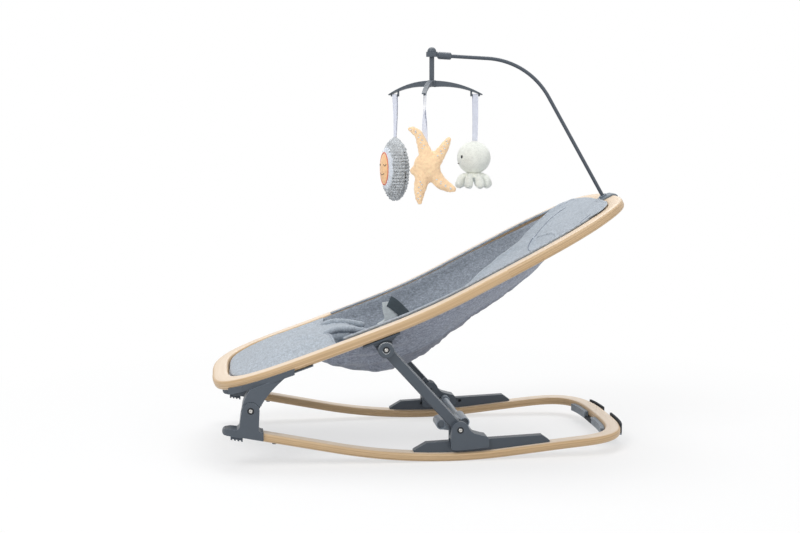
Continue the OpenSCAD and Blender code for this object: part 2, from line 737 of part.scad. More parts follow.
// Clip: a plate under the wood with a wall on its inner side
module rear_clip(side) {
  inner = -rail_w / 2 - clear;
  y0 = inner_end(side);
  color([0.4, 0.44, 0.49]) on_side(side) translate([0, 0, clip_base]) {
    linear_extrude(clip_low) rear_ring(inner - clip_wall, rail_w / 2 + clear + bumper_t, y0, clip_half);
    linear_extrude(rail_top(rail_back_x) - 6 - clip_base) rear_ring(inner - clip_wall, inner, y0, clip_half);
  }
}

// Soft strip behind the wood that keeps it off the wall
bumper_t = 3.5;
module rear_bumper(side) {
  z0 = clip_base + clip_low + clear;
  outer = rail_w / 2 + clear;
  color([0.14, 0.15, 0.17]) on_side(side) translate([0, 0, z0])
    linear_extrude(rail_top(rail_back_x) + 2 - z0)
      rear_ring(outer, outer + bumper_t, inner_end(side), clip_half);
}

module rear_clip_link() {
  x1 = rail_back_x - rail_w - clear;
  color([0.14, 0.15, 0.17]) translate([x1 - clip_wall, clear - clip_in[0], clip_base])
    cube([clip_wall, clip_in[0] + clip_in[1] - 2 * clear, clip_low + 1]);
}

// ---- Fabric ----

// Depth of the sling's underside below the hoop's middle line along the seat
sling_knots = [
  [hoop_x0 + hoop_len * 0.025, 6], [hoop_x0 + hoop_len * 0.1126, sling_depth * 0.1],
  [hoop_x0 + hoop_len * 0.2128, sling_depth * 0.17],
  [hoop_x0 + hoop_len * 0.2453, sling_depth * 0.26], [hoop_x0 + hoop_len * 0.2666, sling_depth * 0.4],
  [hoop_x0 + hoop_len * 0.3191, sling_depth * 0.61], [hoop_x0 + hoop_len * 0.3642, sling_depth * 0.75],
  [hoop_x0 + hoop_len * 0.4105, sling_depth * 0.9], [hoop_x0 + hoop_len * 0.4756, sling_depth],
  [hoop_x0 + hoop_len * 0.5257, sling_depth * 0.95],
  [hoop_x0 + hoop_len * 0.5707, sling_depth * 0.83], [hoop_x0 + hoop_len * 0.6333, sling_depth * 0.73],
  [hoop_x0 + hoop_len * 0.7196, sling_depth * 0.64], [hoop_x0 + hoop_len * 0.771, sling_depth * 0.53],
  [hoop_x0 + hoop_len * 0.8135, sling_depth * 0.4],
  [hoop_x0 + hoop_len * 0.8636, sling_depth * 0.26], [hoop_x1 - 32, 10]
];
inner_half_head = hoop_head_half - hoop_w - slack;
inner_half_foot = hoop_foot_half - hoop_w - slack;

// Share of the sling's depth across the seat: 1 on the middle line, 0 at the hoop
function across(x, y) =
  let (
    u = x > head_cx ? (x - head_cx) / (hoop_head_len - hoop_w - slack)
      : x < foot_cx ? (foot_cx - x) / (hoop_foot_len - hoop_w - slack) : 0,
    e = x > head_cx ? head_n : foot_n,
    b = x > head_cx ? inner_half_head : x < foot_cx ? inner_half_foot
      : inner_half_foot + (inner_half_head - inner_half_foot) * (x - foot_cx) / (head_cx - foot_cx),
    r = pow(pow(abs(u), e) + pow(abs(y) / b, e), 1 / e)
  ) max(0, 1 - pow(min(1, r), 2.2));

// Underside and upper side of the sling; the cloth leaves the hoop near its upper edge
function sling_low(x, y) = hoop_z(x) - lookup(x, sling_knots) * across(x, y);
function sling_high(x, y) = sling_low(x, y) + sling_t;

// Closed soft solid over a plan outline, between two surfaces given as functions of x and y
module soft(outline, centre, low, high, steps) {
  at = function (p, q) centre + (p - centre) * q;
  top = [for (q = steps) [for (p = outline) let (c = at(p, q)) [c[0], c[1], high(c[0], c[1], q)]]];
  under = [for (q = steps) [for (p = outline) let (c = at(p, q)) [c[0], c[1], low(c[0], c[1], q)]]];
  m = len(steps);
  skin(concat([for (i = [m - 1:-1:0]) top[i]], [for (i = [0:m - 1]) under[i]]));
}

module seat_sling() {
  low = function (x, y, q) sling_low(x, y);
  high = function (x, y, q) sling_high(x, y);
  edge = [
    for (i = [0:len(hoop_path) - 1]) let (n = outward(hoop_path, i, true))
      hoop_path[i] - n * (hoop_w / 2 + slack + 3.8 * max(0, n[0]))
  ];
  color([0.55, 0.59, 0.65])
    soft(edge, [hoop_x0 + hoop_len / 2, 0], low, high, [1, 0.95, 0.86, 0.74, 0.58, 0.4, 0.2, 0.04]);
}

// Oval outline with half lengths a and b
function oval(cx, a, b, n = 36, e = 2.4) = [
  for (i = [0:n - 1]) let (t = 360 * i / n) [cx + super_r(t, a, b, e) * cos(t), super_r(t, a, b, e) * sin(t)]
];

module leg_liner() {
  cx = hoop_x0 + hoop_len * 0.1477;
  low = function (x, y, q) sling_high(x, y) + slack;
  high = function (x, y, q) max(low(x, y, q) + 1.5, hoop_z(x) + 2 + liner_t * (1 - pow(q, 3)));
  outline = oval(cx, hoop_len * 0.1051, hoop_foot_half * 0.732);
  color([0.78, 0.81, 0.85]) soft(outline, [cx, 0], low, high, [1, 0.94, 0.84, 0.66, 0.45, 0.2, 0.04]);
}

// Back pad: it rises out of the seat to the head cushion. Place, half width, and drop below the hoop
pad_knots = [
  [0.55, 30, 62], [0.6186, 54, 36], [0.6786, 64, 24], [0.735, 82, 18], [0.7926, 102, 14], [0.85, 122, 8],
  [0.906, 130, 0], [0.94, 98, -2], [0.951, 54, -1]
];
function pad_half(u) = lookup(u, [for (k = pad_knots) [k[0], k[1] / 200]]) * hoop_head_half;
function pad_drop(u) = lookup(u, [for (k = pad_knots) [k[0], k[2]]]);
module head_pillow() {
  n = 22;
  u0 = pad_knots[0][0];
  u1 = pad_knots[len(pad_knots) - 1][0];
  share = [for (i = [0:n]) u0 + (u1 - u0) * (0.5 - 0.5 * cos(180 * i / n))];
  side = [for (u = share) [hoop_x0 + hoop_len * u, pad_half(u) + 9]];
  outline = concat([for (p = side) [p[0], -p[1]]], [for (i = [n:-1:0]) side[i]]);
  low = function (x, y, q) sling_high(x, y) + slack + 2.6;
  level = function (x) hoop_z(x) - pad_drop((x - hoop_x0) / hoop_len);
  high = function (x, y, q)
    low(x, y, q) + 1.5 + max(4, min(3 * pillow_t, level(x) - low(x, y, q) - 1.5)) * (1 - pow(q, 5));
  color([0.7, 0.74, 0.79])
    soft(outline, [hoop_x0 + hoop_len * 0.78, 0], low, high, [1, 0.97, 0.9, 0.75, 0.55, 0.3, 0.04]);
}

// Padded bridge between the leg openings, from the leg liner down into the seat
flap_x0 = hoop_x0 + hoop_len * 0.2534;
flap_x1 = hoop_x0 + hoop_len * 0.373;
flap_half = 54;
module crotch_flap() {
  n = 14;
  thick = 13;
  rear = sling_high(flap_x1, 0) + slack;
  front = hoop_z(flap_x0) + 6;
  top = hoop_z(flap_x0 + 42) + 3;
  arch = function (t) [
    flap_x0 + (flap_x1 - flap_x0) * t,
    t < 0.4 ? front + (top - front) * sin(90 * t / 0.4) : top - (top - rear) * pow((t - 0.4) / 0.6, 2)
  ];
  color([0.66, 0.7, 0.76]) skin([
    for (i = [n:-1:0])
      let (t = i / n, p = arch(t), w = flap_half * (1 - 0.2 * t), h = thick * (1 - 0.35 * pow(2 * t - 1, 2)))
        [for (c = rounded(2 * w, h, h * 0.42))
          [p[0], c[0], max(p[1] - 9 * pow(c[0] / w, 4), sling_high(p[0], c[0]) + slack) + c[1] + h / 2]]
  ]);
}

// Flat webbing along a line of points, wide across the seat
module webbing(points, w) {
  n = len(points);
  skin([
    for (i = [n - 1:-1:0])
      let (
        a = points[max(i - 1, 0)],
        b = points[min(i + 1, n - 1)],
        t = unit(b - a),
        u = unit(cross(cross([0, 0, 1], t), t)),
        v = cross(t, u)
      ) [for (c = [[1, 1], [-1, 1], [-1, -1], [1, -1]]) points[i] + v * c[0] * w / 2 + u * c[1] * strap_t / 2]
  ]);
}

buckle_x = hoop_x0 + hoop_len * 0.413;
buckle_z = hoop_z(buckle_x) - 34;
buckle = [36, 40, 13];

// The waist straps stand up in a fold beside the buckle and run down to the sides of the seat
module waist_strap(side) {
  x = buckle_x;
  y = buckle[1] / 2 + clear;
  color([0.68, 0.75, 0.75]) on_side(side) webbing([
    [x + 6, y + 1.4, buckle_z + 2],
    [x + 6, y + 2.4, buckle_z + 9],
    [x + 6, y + 9, buckle_z + 22],
    [x + 15, y + 12, buckle_z + 42],
    [x + 26, y + 15, buckle_z + 60],
    [x + 36, y + 22, buckle_z + 54],
    [x + 46, y + 42, buckle_z + 34],
    [x + 54, y + 66, buckle_z + 14],
    [x + 60, y + 84, sling_high(x + 60, y + 84) + 4]
  ], strap_w);
}

module crotch_strap() {
  x = buckle_x - buckle[0] / 2;
  color([0.68, 0.75, 0.75]) webbing([
    [flap_x1 + 1, 0, sling_high(flap_x1 + 1, 0) + 5],
    [x - 4, 0, buckle_z - 9],
    [x - 1.4, 0, buckle_z - 1]
  ], strap_w);
}

module buckle_housing() {
  color([0.2, 0.22, 0.25]) translate([buckle_x, 0, buckle_z]) difference() {
    translate([-buckle[0] / 2, -buckle[1] / 2, -buckle[2] / 2]) cube(buckle);
    translate([0, 0, buckle[2] / 2 - 4]) cylinder(r = 11.5, h = 5);
    translate([0, 0, buckle[2] / 2 - 7]) cylinder(r = 3, h = 5);
    for (s = [-1, 1]) translate([-9, s * buckle[1] / 2 - 4, -2]) cube([18, 8, 3.6]);
  }
}

module buckle_tongue() {
  color([0.2, 0.22, 0.25]) for (s = [-1, 1])
    translate([buckle_x - 8.5, s * buckle[1] / 2 - 3.6, buckle_z - 1.8]) cube([17, 7.2, 3.2]);
}

module buckle_button() {
  color([0.55, 0.58, 0.6]) translate([buckle_x, 0, buckle_z + buckle[2] / 2]) {
    translate([0, 0, -0.6]) cylinder(r = 11.2, h = 2.6);
    translate([0, 0, -3.6]) cylinder(r = 2.9, h = 3.1);
  }
}

// ---- Toy arch ----

clip_w = 32;                                // width of the arch clip along the hoop
clip_t = 3.5;                               // its wall
head_x = hoop_x1 - hoop_w / 2;
head_tilt = atan(hoop_back_slope);
rod_x = head_x - 11.4;                      // where the rod leaves the clip
rod_z = hoop_z(head_x) + 13;
rod_up = [-sin(rod_lean), cos(rod_lean)];
socket_len = 14;

module arch_clip() {
  tilt = head_tilt;
  color([0.36, 0.4, 0.45]) difference() {
    union() {
      slab(-clip_w / 2, clip_w / 2) translate([head_x, hoop_z(head_x)]) rotate(tilt) difference() {
        clip_outline(clip_t + clear);
        clip_outline(clear);
        translate([6, -hoop_t]) square([hoop_w, hoop_t]);
      }
      intersection() {
        translate([rod_x, 0, rod_z]) rotate([0, -rod_lean, 0]) translate([0, 0, -socket_len])
          cylinder(r = rod_r + 4, h = socket_len);
        slab(-clip_w, clip_w) translate([head_x, hoop_z(head_x)]) rotate(tilt)
          translate([-hoop_w, hoop_t / 2 + clear + 0.5]) square([2 * hoop_w, 40]);
      }
    }
    translate([rod_x, 0, rod_z]) rotate([0, -rod_lean, 0]) translate([0, 0, -socket_drop - clear])
      cylinder(r = plug_r + run, h = socket_len);
  }
}

// Rounded outline round the hoop's section, d outside the wood
module clip_outline(d) {
  polygon(rounded(hoop_w + 2 * d, hoop_t + 2 * d, wood_edge + d, 6));
}

// The rod's line: up from the clip, round the bend and along to the sleeve
socket_drop = 6.2;                          // depth of the rod's end in the clip
plug_r = rod_r - 0.4;                       // turned ends of the rod, in the clip and in the sleeve
rod_turn = 87 - rod_lean;
bend_start = [rod_x, rod_z] + rod_rise * rod_up;
bend_mid = bend_start - rod_bend_r * [cos(rod_lean), sin(rod_lean)];
bend_end = bend_mid + rod_bend_r * [cos(rod_lean + rod_turn), sin(rod_lean + rod_turn)];
tip_dir = [-sin(rod_lean + rod_turn), cos(rod_lean + rod_turn)];
rod_end = bend_end + rod_tip * tip_dir;
tip_lean = rod_lean + rod_turn;

module arch_rod() {
  color([0.27, 0.3, 0.34]) {
    translate([rod_x, 0, rod_z]) rotate([0, -rod_lean, 0]) {
      translate([0, 0, clear]) cylinder(r = rod_r, h = rod_rise - clear);
      translate([0, 0, -socket_drop]) cylinder(r = plug_r, h = socket_drop + 3);
    }
    translate([bend_mid[0], 0, bend_mid[1]]) rotate([90, 0, 0]) rotate([0, 0, rod_lean - 0.2])
      rotate_extrude(angle = rod_turn + 0.4) translate([rod_bend_r, 0]) circle(rod_r - 0.03);
    translate([bend_end[0], 0, bend_end[1]]) rotate([0, -tip_lean, 0]) {
      cylinder(r = rod_r, h = rod_tip - clear);
      translate([0, 0, rod_tip - 3]) cylinder(r = plug_r, h = 3 + sleeve_len / 2);
    }
  }
}

module arch_sleeve() {
  color([0.3, 0.34, 0.39]) translate([rod_end[0], 0, rod_end[1]]) rotate([0, -tip_lean, 0]) difference() {
    union() {
      translate([0, 0, 2]) cylinder(r = sleeve_r, h = sleeve_len - 5);
      cylinder(r1 = sleeve_r - 2, r2 = sleeve_r, h = 2, $fn = 48);
      translate([0, 0, sleeve_len - 3]) cylinder(r1 = sleeve_r, r2 = sleeve_r - 2, h = 3);
    }
    translate([0, 0, -1]) cylinder(r = plug_r + run, h = sleeve_len / 2 + 1.2);
  }
}

hub_len = 22;
hub_h = 9.5;
hub_x = rod_end[0] - sleeve_len - hub_len / 2;
hub_z = rod_end[1] + (sleeve_len + hub_len / 2) * tip_dir[1] + 1.5;
post_r = 4.8;
spindle_r = 3;
ball_r = 8.7;

module arch_hub() {
  color([0.3, 0.34, 0.39]) difference() {
    union() {
      translate([hub_x, -5.5, hub_z - hub_h / 2]) cube([hub_len / 2 - clear, 11, hub_h]);
      translate([hub_x, 0, hub_z - hub_h / 2]) cylinder(r = 11, h = hub_h);
    }
    translate([hub_x, 0, hub_z - hub_h]) cylinder(r = spindle_r + run, h = 2 * hub_h);
  }
}

// The post carries the arms; its spindle turns in the hub under the ball-shaped cap
arms_z = hub_z - hub_h / 2 - post_drop;
module mobile_post() {
  top = hub_z + hub_h / 2 + clear;
  color([0.3, 0.34, 0.39]) {
    translate([hub_x, 0, arms_z + clear]) cylinder(r = post_r, h = post_drop - 2 * clear);
    translate([hub_x, 0, arms_z + 2]) cylinder(r = spindle_r, h = top + 3 - arms_z);
    intersection() {
      translate([hub_x, 0, top]) sphere(ball_r);
      translate([hub_x - 20, -20, top]) cube([40, 40, 40]);
    }
  }
}

arm_turns = [13.5, 133.5, 253.5];           // right, left and middle arm
loop_z = arms_z - 28.3;                     // height of the bars that the ribbons hang on
bar_r = 1.6;
prong_r = 1.9;
loop_len = ribbon_w + 5;

module mobile_arms() {
  reach = hook_reach + arm_end;
  drop = function (r) 0.5 + 25.5 * pow(r / reach, 2.1);
  n = 11;
  color([0.33, 0.37, 0.42]) translate([hub_x, 0, 0]) {
    difference() {
      translate([0, 0, arms_z - 11]) cylinder(r = 8, h = 11);
      translate([0, 0, arms_z - 20]) cylinder(r = spindle_r + run, h = 30);
    }
    for (a = arm_turns) rotate([0, 0, a]) {
      difference() {
        slab(-4.2, 4.2) polygon(concat(
          [for (i = [0:n]) let (r = reach * i / n) [r, arms_z - drop(r)]],
          [for (i = [n:-1:0]) let (r = reach * i / n) [r, arms_z - drop(r) - 11 * (1 - r / reach) - 2]]
        ));
        translate([0, 0, arms_z - 30]) cylinder(r = 7, h = 40);
      }
      for (x = [hook_reach - loop_len / 2, hook_reach + loop_len / 2])
        translate([x, 0, loop_z - bar_r - 0.5])
          cylinder(r = prong_r, h = arms_z - drop(x) - 2 - loop_z + bar_r + 0.5);
      translate([hook_reach - loop_len / 2, 0, loop_z]) rotate([0, 90, 0]) cylinder(r = bar_r, h = loop_len);
    }
  }
}

// A ribbon is a narrow band folded over the bar; len is its length below the bar
module ribbon(turn, length) {
  color([0.88, 0.9, 0.97]) translate([hub_x, 0, loop_z]) rotate([0, 0, turn]) translate([hook_reach, 0, 0])
    difference() {
      union() {
        translate([-ribbon_w / 2, -1.5, -length]) cube([ribbon_w, 3, length]);
        translate([-ribbon_w / 2, 0, 0]) rotate([0, 90, 0]) cylinder(r = bar_r + 1.4, h = ribbon_w);
      }
      translate([-ribbon_w, 0, 0]) rotate([0, 90, 0]) cylinder(r = bar_r + run, h = 2 * ribbon_w);
    }
}

ribbon_lens = [88.7, 82.7, 91];                // right, left and middle ribbon
function toy_at(i) = [
  hub_x + hook_reach * cos(arm_turns[i]), hook_reach * sin(arm_turns[i]), loop_z - ribbon_lens[i] - clear
];

// Ball with half axes a, b and c about its middle
module ball(a, b, c, n = 18, m = 10) {
  skin([
    for (i = [0:m])
      let (u = -90 + 180 * (i + (i == 0 ? 0.08 : i == m ? -0.08 : 0)) / m)
        [for (j = [0:n - 1]) let (t = -360 * j / n) [a * cos(u) * cos(t), b * cos(u) * sin(t), c * sin(u)]]
  ]);
}

module oval_plush() {
  p = toy_at(1);
  color([0.6, 0.62, 0.64]) translate([p[0], p[1], p[2] - oval_h / 2])
    ball(26, oval_h * 0.36, oval_h / 2);
}

module oval_face() {
  p = toy_at(1);
  color([0.97, 0.78, 0.58]) translate([p[0], p[1], p[2] - oval_h / 2]) difference() {
    intersection() {
      translate([-2, 0, 0]) ball(28, oval_h * 0.33, oval_h * 0.42);
      rotate([0, -90, 0]) cylinder(r = oval_h * 0.38, h = 40);
    }
    ball(26 + clear, oval_h * 0.36 + clear, oval_h / 2 + clear);
  }
}

// Five arms, each with its turn and its share of the reach; the short one bends towards the front
star_arms = [[117, 0.95], [50, 0.78], [-40, 0.83], [-101, 0.86], [-159, 0.42]];
function star_out(t) = star_r * (0.32 + total([
  for (a = star_arms) let (d = abs((t - a[0] + 540) % 360 - 180))
    d < 36 ? (a[1] - 0.32) * pow(cos(2.5 * d), 2) : 0
]));
module starfish_plush() {
  p = toy_at(2);
  n = 60;
  edge = [for (i = [0:n - 1]) let (t = 360 * i / n) star_out(t) * [cos(t), sin(t)]];
  deep = function (x, y, q) 15 * sqrt(max(0, 1 - q * q)) + 1;
  low = function (x, y, q) -deep(x, y, q);
  color([0.98, 0.79, 0.55]) translate([p[0] + 2, p[1] - 2, p[2] - star_r * 0.525]) rotate([0, 0, -18])
    rotate([90, 0, 0]) soft(edge, [0, 0], low, deep, [1, 0.94, 0.8, 0.55, 0.25, 0.04]);
}

module octopus_head() {
  p = toy_at(0);
  color([0.88, 0.9, 0.86]) translate([p[0] - 2, p[1], p[2] - octopus_r]) sphere(octopus_r, $fn = 40);
}

// Six stubby legs round a small belly, each curling down from the head
module octopus_legs() {
  p = toy_at(0);
  top = p[2] - 2 * octopus_r + 4;
  n = 48;
  // level, inner radius and reach of the legs
  levels = [[2, 8, 2], [-5, 15, 9], [-12, 17, 18], [-19, 17, 24], [-24, 17, 25], [-29, 16, 22], [-32, 9, 15]];
  lobe = function (t) pow(0.5 + 0.5 * cos(6 * t), 0.8);
  color([0.88, 0.9, 0.86]) difference() {
    translate([p[0] - 2, p[1], top]) skin([
      for (i = [len(levels) - 1:-1:0])
        let (v = levels[i])
          [for (j = [0:n - 1]) let (t = -360 * j / n, r = v[1] + v[2] * lobe(t + 15))
            [r * cos(t), r * sin(t), v[0]]]
    ]);
    translate([p[0] - 2, p[1], p[2] - octopus_r]) sphere(octopus_r + clear);
  }
}

rocker_rails();
foot_bracket("left");  // foot_bracket_left
foot_bracket("right");  // foot_bracket_right
foot_pad("left");  // foot_pad_left
foot_pad("right");  // foot_pad_right
front_hinge_pins();
rail_screws();
track("left");  // track_left
track("right");  // track_right
rear_clip("left");  // rear_clip_left
rear_clip("right");  // rear_clip_right
rear_clip_link();
rear_bumper("left");  // rear_bumper_left
rear_bumper("right");  // rear_bumper_right
hoop();
seat_arm("left");  // seat_arm_left
seat_arm("right");  // seat_arm_right
strut_bracket("left");  // strut_bracket_left
strut_bracket("right");  // strut_bracket_right
strut_top_pins();
seat_sling();
leg_liner();
crotch_flap();
head_pillow();
waist_strap("left");  // waist_strap_left
waist_strap("right");  // waist_strap_right
crotch_strap();
buckle_housing();
buckle_tongue();
buckle_button();
arch_clip();
strut("left");  // strut_left
strut("right");  // strut_right
slider("left");  // slider_left
slider("right");  // slider_right
slider_pin("left");  // slider_pin_left
slider_pin("right");  // slider_pin_right
cross_bar();
lock_grip();
lock_knob();
arch_rod();
arch_sleeve();
arch_hub();
mobile_post();
mobile_arms();
ribbon(arm_turns[1], ribbon_lens[1]);  // ribbon_left
oval_plush();
oval_face();
ribbon(arm_turns[2], ribbon_lens[2]);  // ribbon_middle
starfish_plush();
ribbon(arm_turns[0], ribbon_lens[0]);  // ribbon_right
octopus_head();
octopus_legs();
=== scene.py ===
"""Looks of the bouncer seat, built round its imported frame. Lengths are in mm inside the helpers."""

import json
import math

import bpy
import numpy as np
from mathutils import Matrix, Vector

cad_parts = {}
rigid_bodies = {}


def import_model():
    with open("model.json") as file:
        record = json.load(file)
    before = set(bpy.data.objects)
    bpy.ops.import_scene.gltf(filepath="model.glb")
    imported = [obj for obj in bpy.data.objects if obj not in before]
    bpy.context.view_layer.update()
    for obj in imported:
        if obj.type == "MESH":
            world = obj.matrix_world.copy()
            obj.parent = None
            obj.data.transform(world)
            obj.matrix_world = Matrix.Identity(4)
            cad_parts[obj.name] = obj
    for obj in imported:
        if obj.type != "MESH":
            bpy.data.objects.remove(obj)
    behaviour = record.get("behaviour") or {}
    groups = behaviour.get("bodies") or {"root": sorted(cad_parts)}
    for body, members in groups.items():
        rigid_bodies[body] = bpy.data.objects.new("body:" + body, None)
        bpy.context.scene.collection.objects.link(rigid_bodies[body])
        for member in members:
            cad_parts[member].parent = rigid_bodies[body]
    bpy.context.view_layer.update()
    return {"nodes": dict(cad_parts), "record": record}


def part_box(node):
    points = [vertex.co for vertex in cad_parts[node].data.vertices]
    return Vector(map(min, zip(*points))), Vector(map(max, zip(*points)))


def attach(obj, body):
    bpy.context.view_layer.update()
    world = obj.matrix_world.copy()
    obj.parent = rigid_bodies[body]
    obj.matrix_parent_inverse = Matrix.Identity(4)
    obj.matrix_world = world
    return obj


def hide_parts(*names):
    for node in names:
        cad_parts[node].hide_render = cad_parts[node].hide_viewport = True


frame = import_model()
NODES = frame["nodes"]
MM = 0.001
CAMERA_AT = (-0.36989, -2.60784, 0.64381)
CAMERA_TURN = math.radians(7.3185)
CAMERA_DIP = math.radians(6.543)
SIDES = ((-1, "left"), (1, "right"))
UP = np.array([0, 0, 1.0])


def mm_box(node):
    """Box of a CAD node in mm."""
    lo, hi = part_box(node)
    return np.array(lo) / MM, np.array(hi) / MM


# ---------------------------------------------------------------- materials


def lin(r, g, b, a=1.0):
    """Linear colour of an 8-bit display colour."""
    out = []
    for v in (r, g, b):
        v = v / 255
        out.append(v / 12.92 if v <= 0.04045 else ((v + 0.055) / 1.055) ** 2.4)
    return (*out, a)


class Nodes:
    """A node tree with a few short ways to add to it."""

    def __init__(self, tree):
        self.t = tree

    def put(self, value, socket):
        if isinstance(value, bpy.types.NodeSocket):
            self.t.links.new(value, socket)
        else:
            socket.default_value = value

    def add(self, kind, inputs=(), **settings):
        """A new node with its settings; inputs maps socket names or numbers to values or links."""
        n = self.t.nodes.new("ShaderNode" + kind)
        for key, value in settings.items():
            setattr(n, key, value)
        for key, value in dict(inputs).items():
            self.put(value, n.inputs[key])
        return n

    def math(self, op, a, b=0.0, clamp=False):
        return self.add("Math", {0: a, 1: b}, operation=op, use_clamp=clamp).outputs[0]

    def times(self, a, b, clamp=False):
        return self.math("MULTIPLY", a, b, clamp)

    def seen(self):
        """1 for rays from the camera and for glossy rays, 0 for the others."""
        path = self.add("LightPath").outputs
        return self.math("MAXIMUM", path["Is Camera Ray"], path["Is Glossy Ray"])

    def blend(self, share, a, b):
        """The shader between a and b."""
        return self.add("MixShader", {0: share, 1: a, 2: b}).outputs[0]


class Mat(Nodes):
    """A principled material."""

    def __init__(self, name, rough=0.5, metal=0.0, sheen=0.0, coat=0.0, spec=0.5):
        self.m = bpy.data.materials.new(name)
        self.m.use_nodes = True
        super().__init__(self.m.node_tree)
        self.b = next(n for n in self.t.nodes if n.type == "BSDF_PRINCIPLED")
        values = {"Roughness": rough, "Metallic": metal, "Sheen Weight": sheen, "Sheen Roughness": 0.5,
                  "Coat Weight": coat, "Coat Roughness": 0.3, "Specular IOR Level": spec}
        for key, value in values.items():
            self.b.inputs[key].default_value = value
        self.at = self.add("TexCoord").outputs["Object"]

    def noise(self, scale, detail=3.0, rough=0.55, at=None, warp=0.0):
        inputs = {"Vector": at or self.at, "Scale": scale, "Detail": detail, "Roughness": rough,
                  "Distortion": warp}
        return self.add("TexNoise", inputs).outputs["Fac"]

    def cells(self, scale, random):
        inputs = {"Vector": self.at, "Scale": scale, "Randomness": random}
        return self.add("TexVoronoi", inputs).outputs["Distance"]

    def scaled(self, v, at=None):
        return self.add("Mapping", {"Vector": at or self.at, "Scale": v}).outputs["Vector"]

    def ramp(self, fac, stops):
        n = self.add("ValToRGB", {"Fac": fac})
        e = n.color_ramp.elements
        e[0].position, e[0].color = stops[0]
        e[1].position, e[1].color = stops[-1]
        for p, c in stops[1:-1]:
            e.new(p).color = c
        return n.outputs["Color"]

    def fade(self, fac, low, high, a=0.0, b=1.0):
        """A grey that runs from a at low to b at high."""
        return self.ramp(fac, [(low, (a, a, a, 1)), (high, (b, b, b, 1))])

    def mix(self, fac, a, b, mode="MIX"):
        inputs = {"Factor": fac, "A": a, "B": b}
        return self.add("Mix", inputs, data_type="RGBA", blend_type=mode).outputs["Result"]

    def colour(self, c):
        self.put(c, self.b.inputs["Base Color"])

    def bump(self, height, strength, dist, base=None):
        n = self.add("Bump", {"Height": height, "Strength": strength, "Distance": dist})
        if base is not None:
            self.put(base, n.inputs["Normal"])
        self.put(n.outputs["Normal"], self.b.inputs["Normal"])

    def bevel(self, radius, samples=4):
        return self.add("Bevel", {"Radius": radius}, samples=samples).outputs["Normal"]

    def corner(self, radius, upper):
        """1 along sharp edges, 0 on flat faces; upper keeps only the edges that look up."""
        edge = self.bevel(radius, 6)
        face = self.add("NewGeometry").outputs["Normal"]
        same = self.add("VectorMath", {0: edge, 1: face}, operation="DOT_PRODUCT").outputs["Value"]
        mask = self.fade(same, 0.88, 0.998, 1.0, 0.0)
        if not upper:
            return mask
        return self.times(mask, self.times(self.height_of(edge), 2.2, True))

    def height_of(self, normal):
        return self.add("SeparateXYZ", {0: normal}).outputs["Z"]


def scale_rgb(c, k):
    return (min(1, c[0] * k), min(1, c[1] * k), min(1, c[2] * k), 1.0)


def plastic(name, rgb, rough=0.42, edge=0.0007, edge_highlight=0.55, rim=False):
    """Moulded plastic: fine spark-eroded grain, slight colour drift and softly rounded edges with a painted
    highlight along them.
    """
    m = Mat(name, rough=rough)
    base = lin(*rgb)
    drift = m.noise(22, 2)
    speck = m.noise(2600, 2)
    c = m.mix(drift, scale_rgb(base, 0.93), scale_rgb(base, 1.07))
    c = m.mix(m.times(speck, 0.12), c, scale_rgb(base, 1.5))
    # painted highlight along the edges: pale grey on the edges that look up when rim is set, else a lighter
    # tone of the base
    light = lin(232, 235, 238) if rim else scale_rgb(base, 2.6)
    m.colour(m.mix(m.times(m.corner(edge * 1.8, rim), edge_highlight), c, light))
    m.put(m.math("ADD", m.times(m.noise(60, 3), 0.14), rough - 0.07), m.b.inputs["Roughness"])
    m.bump(speck, 0.18, 0.0002, m.bevel(edge))
    return m.m


def metal(name, rgb):
    m = Mat(name, rough=0.28, metal=1.0)
    base = lin(*rgb)
    m.colour(m.mix(m.noise(300, 3), scale_rgb(base, 0.85), base))
    m.bump(m.noise(1800, 2), 0.1, 0.0002, m.bevel(0.0004))
    return m.m


def rubber(name, rgb):
    m = Mat(name, rough=0.78, spec=0.3)
    base = lin(*rgb)
    m.colour(m.mix(m.noise(90, 4), scale_rgb(base, 0.8), scale_rgb(base, 1.25)))
    m.bump(m.noise(1400, 3), 0.35, 0.0004, m.bevel(0.0006))
    return m.m


def fabric(name, rgb, contrast, weave=620.0, sheen=0.25, depth=0.0006):
    """Heathered woven cloth: threads of mixed tone, a fine weave in relief and slow drift of colour."""
    m = Mat(name, rough=0.93, sheen=sheen, spec=0.25)
    base = lin(*rgb)
    threads = m.noise(1.0, 4, 0.7, m.scaled((95, 330, 240)))
    cross = m.noise(1.0, 3, 0.7, m.scaled((360, 95, 330)))
    speck = m.noise(900, 2, 0.6)
    knit = m.cells(weave, 0.35)
    lo, hi = scale_rgb(base, 1 - 2.1 * contrast), scale_rgb(base, 1 + 2.3 * contrast)
    c = m.mix(m.fade(threads, 0.36, 0.64), lo, hi)
    c = m.mix(0.42, c, m.mix(m.fade(cross, 0.38, 0.62), lo, hi))
    c = m.mix(m.fade(m.noise(230, 2, 0.5), 0.34, 0.7, b=0.5), c, scale_rgb(base, 1 - 1.6 * contrast))
    c = m.mix(m.times(speck, 0.3), c, scale_rgb(base, 1.12))
    c = m.mix(m.times(m.noise(11, 2), 0.14), c, scale_rgb(base, 0.86))
    m.colour(m.mix(m.times(knit, 0.3, True), c, scale_rgb(base, 0.7)))
    m.bump(m.math("ADD", m.times(knit, -1.0), m.times(speck, 0.5)), 0.55, depth)
    return m.m


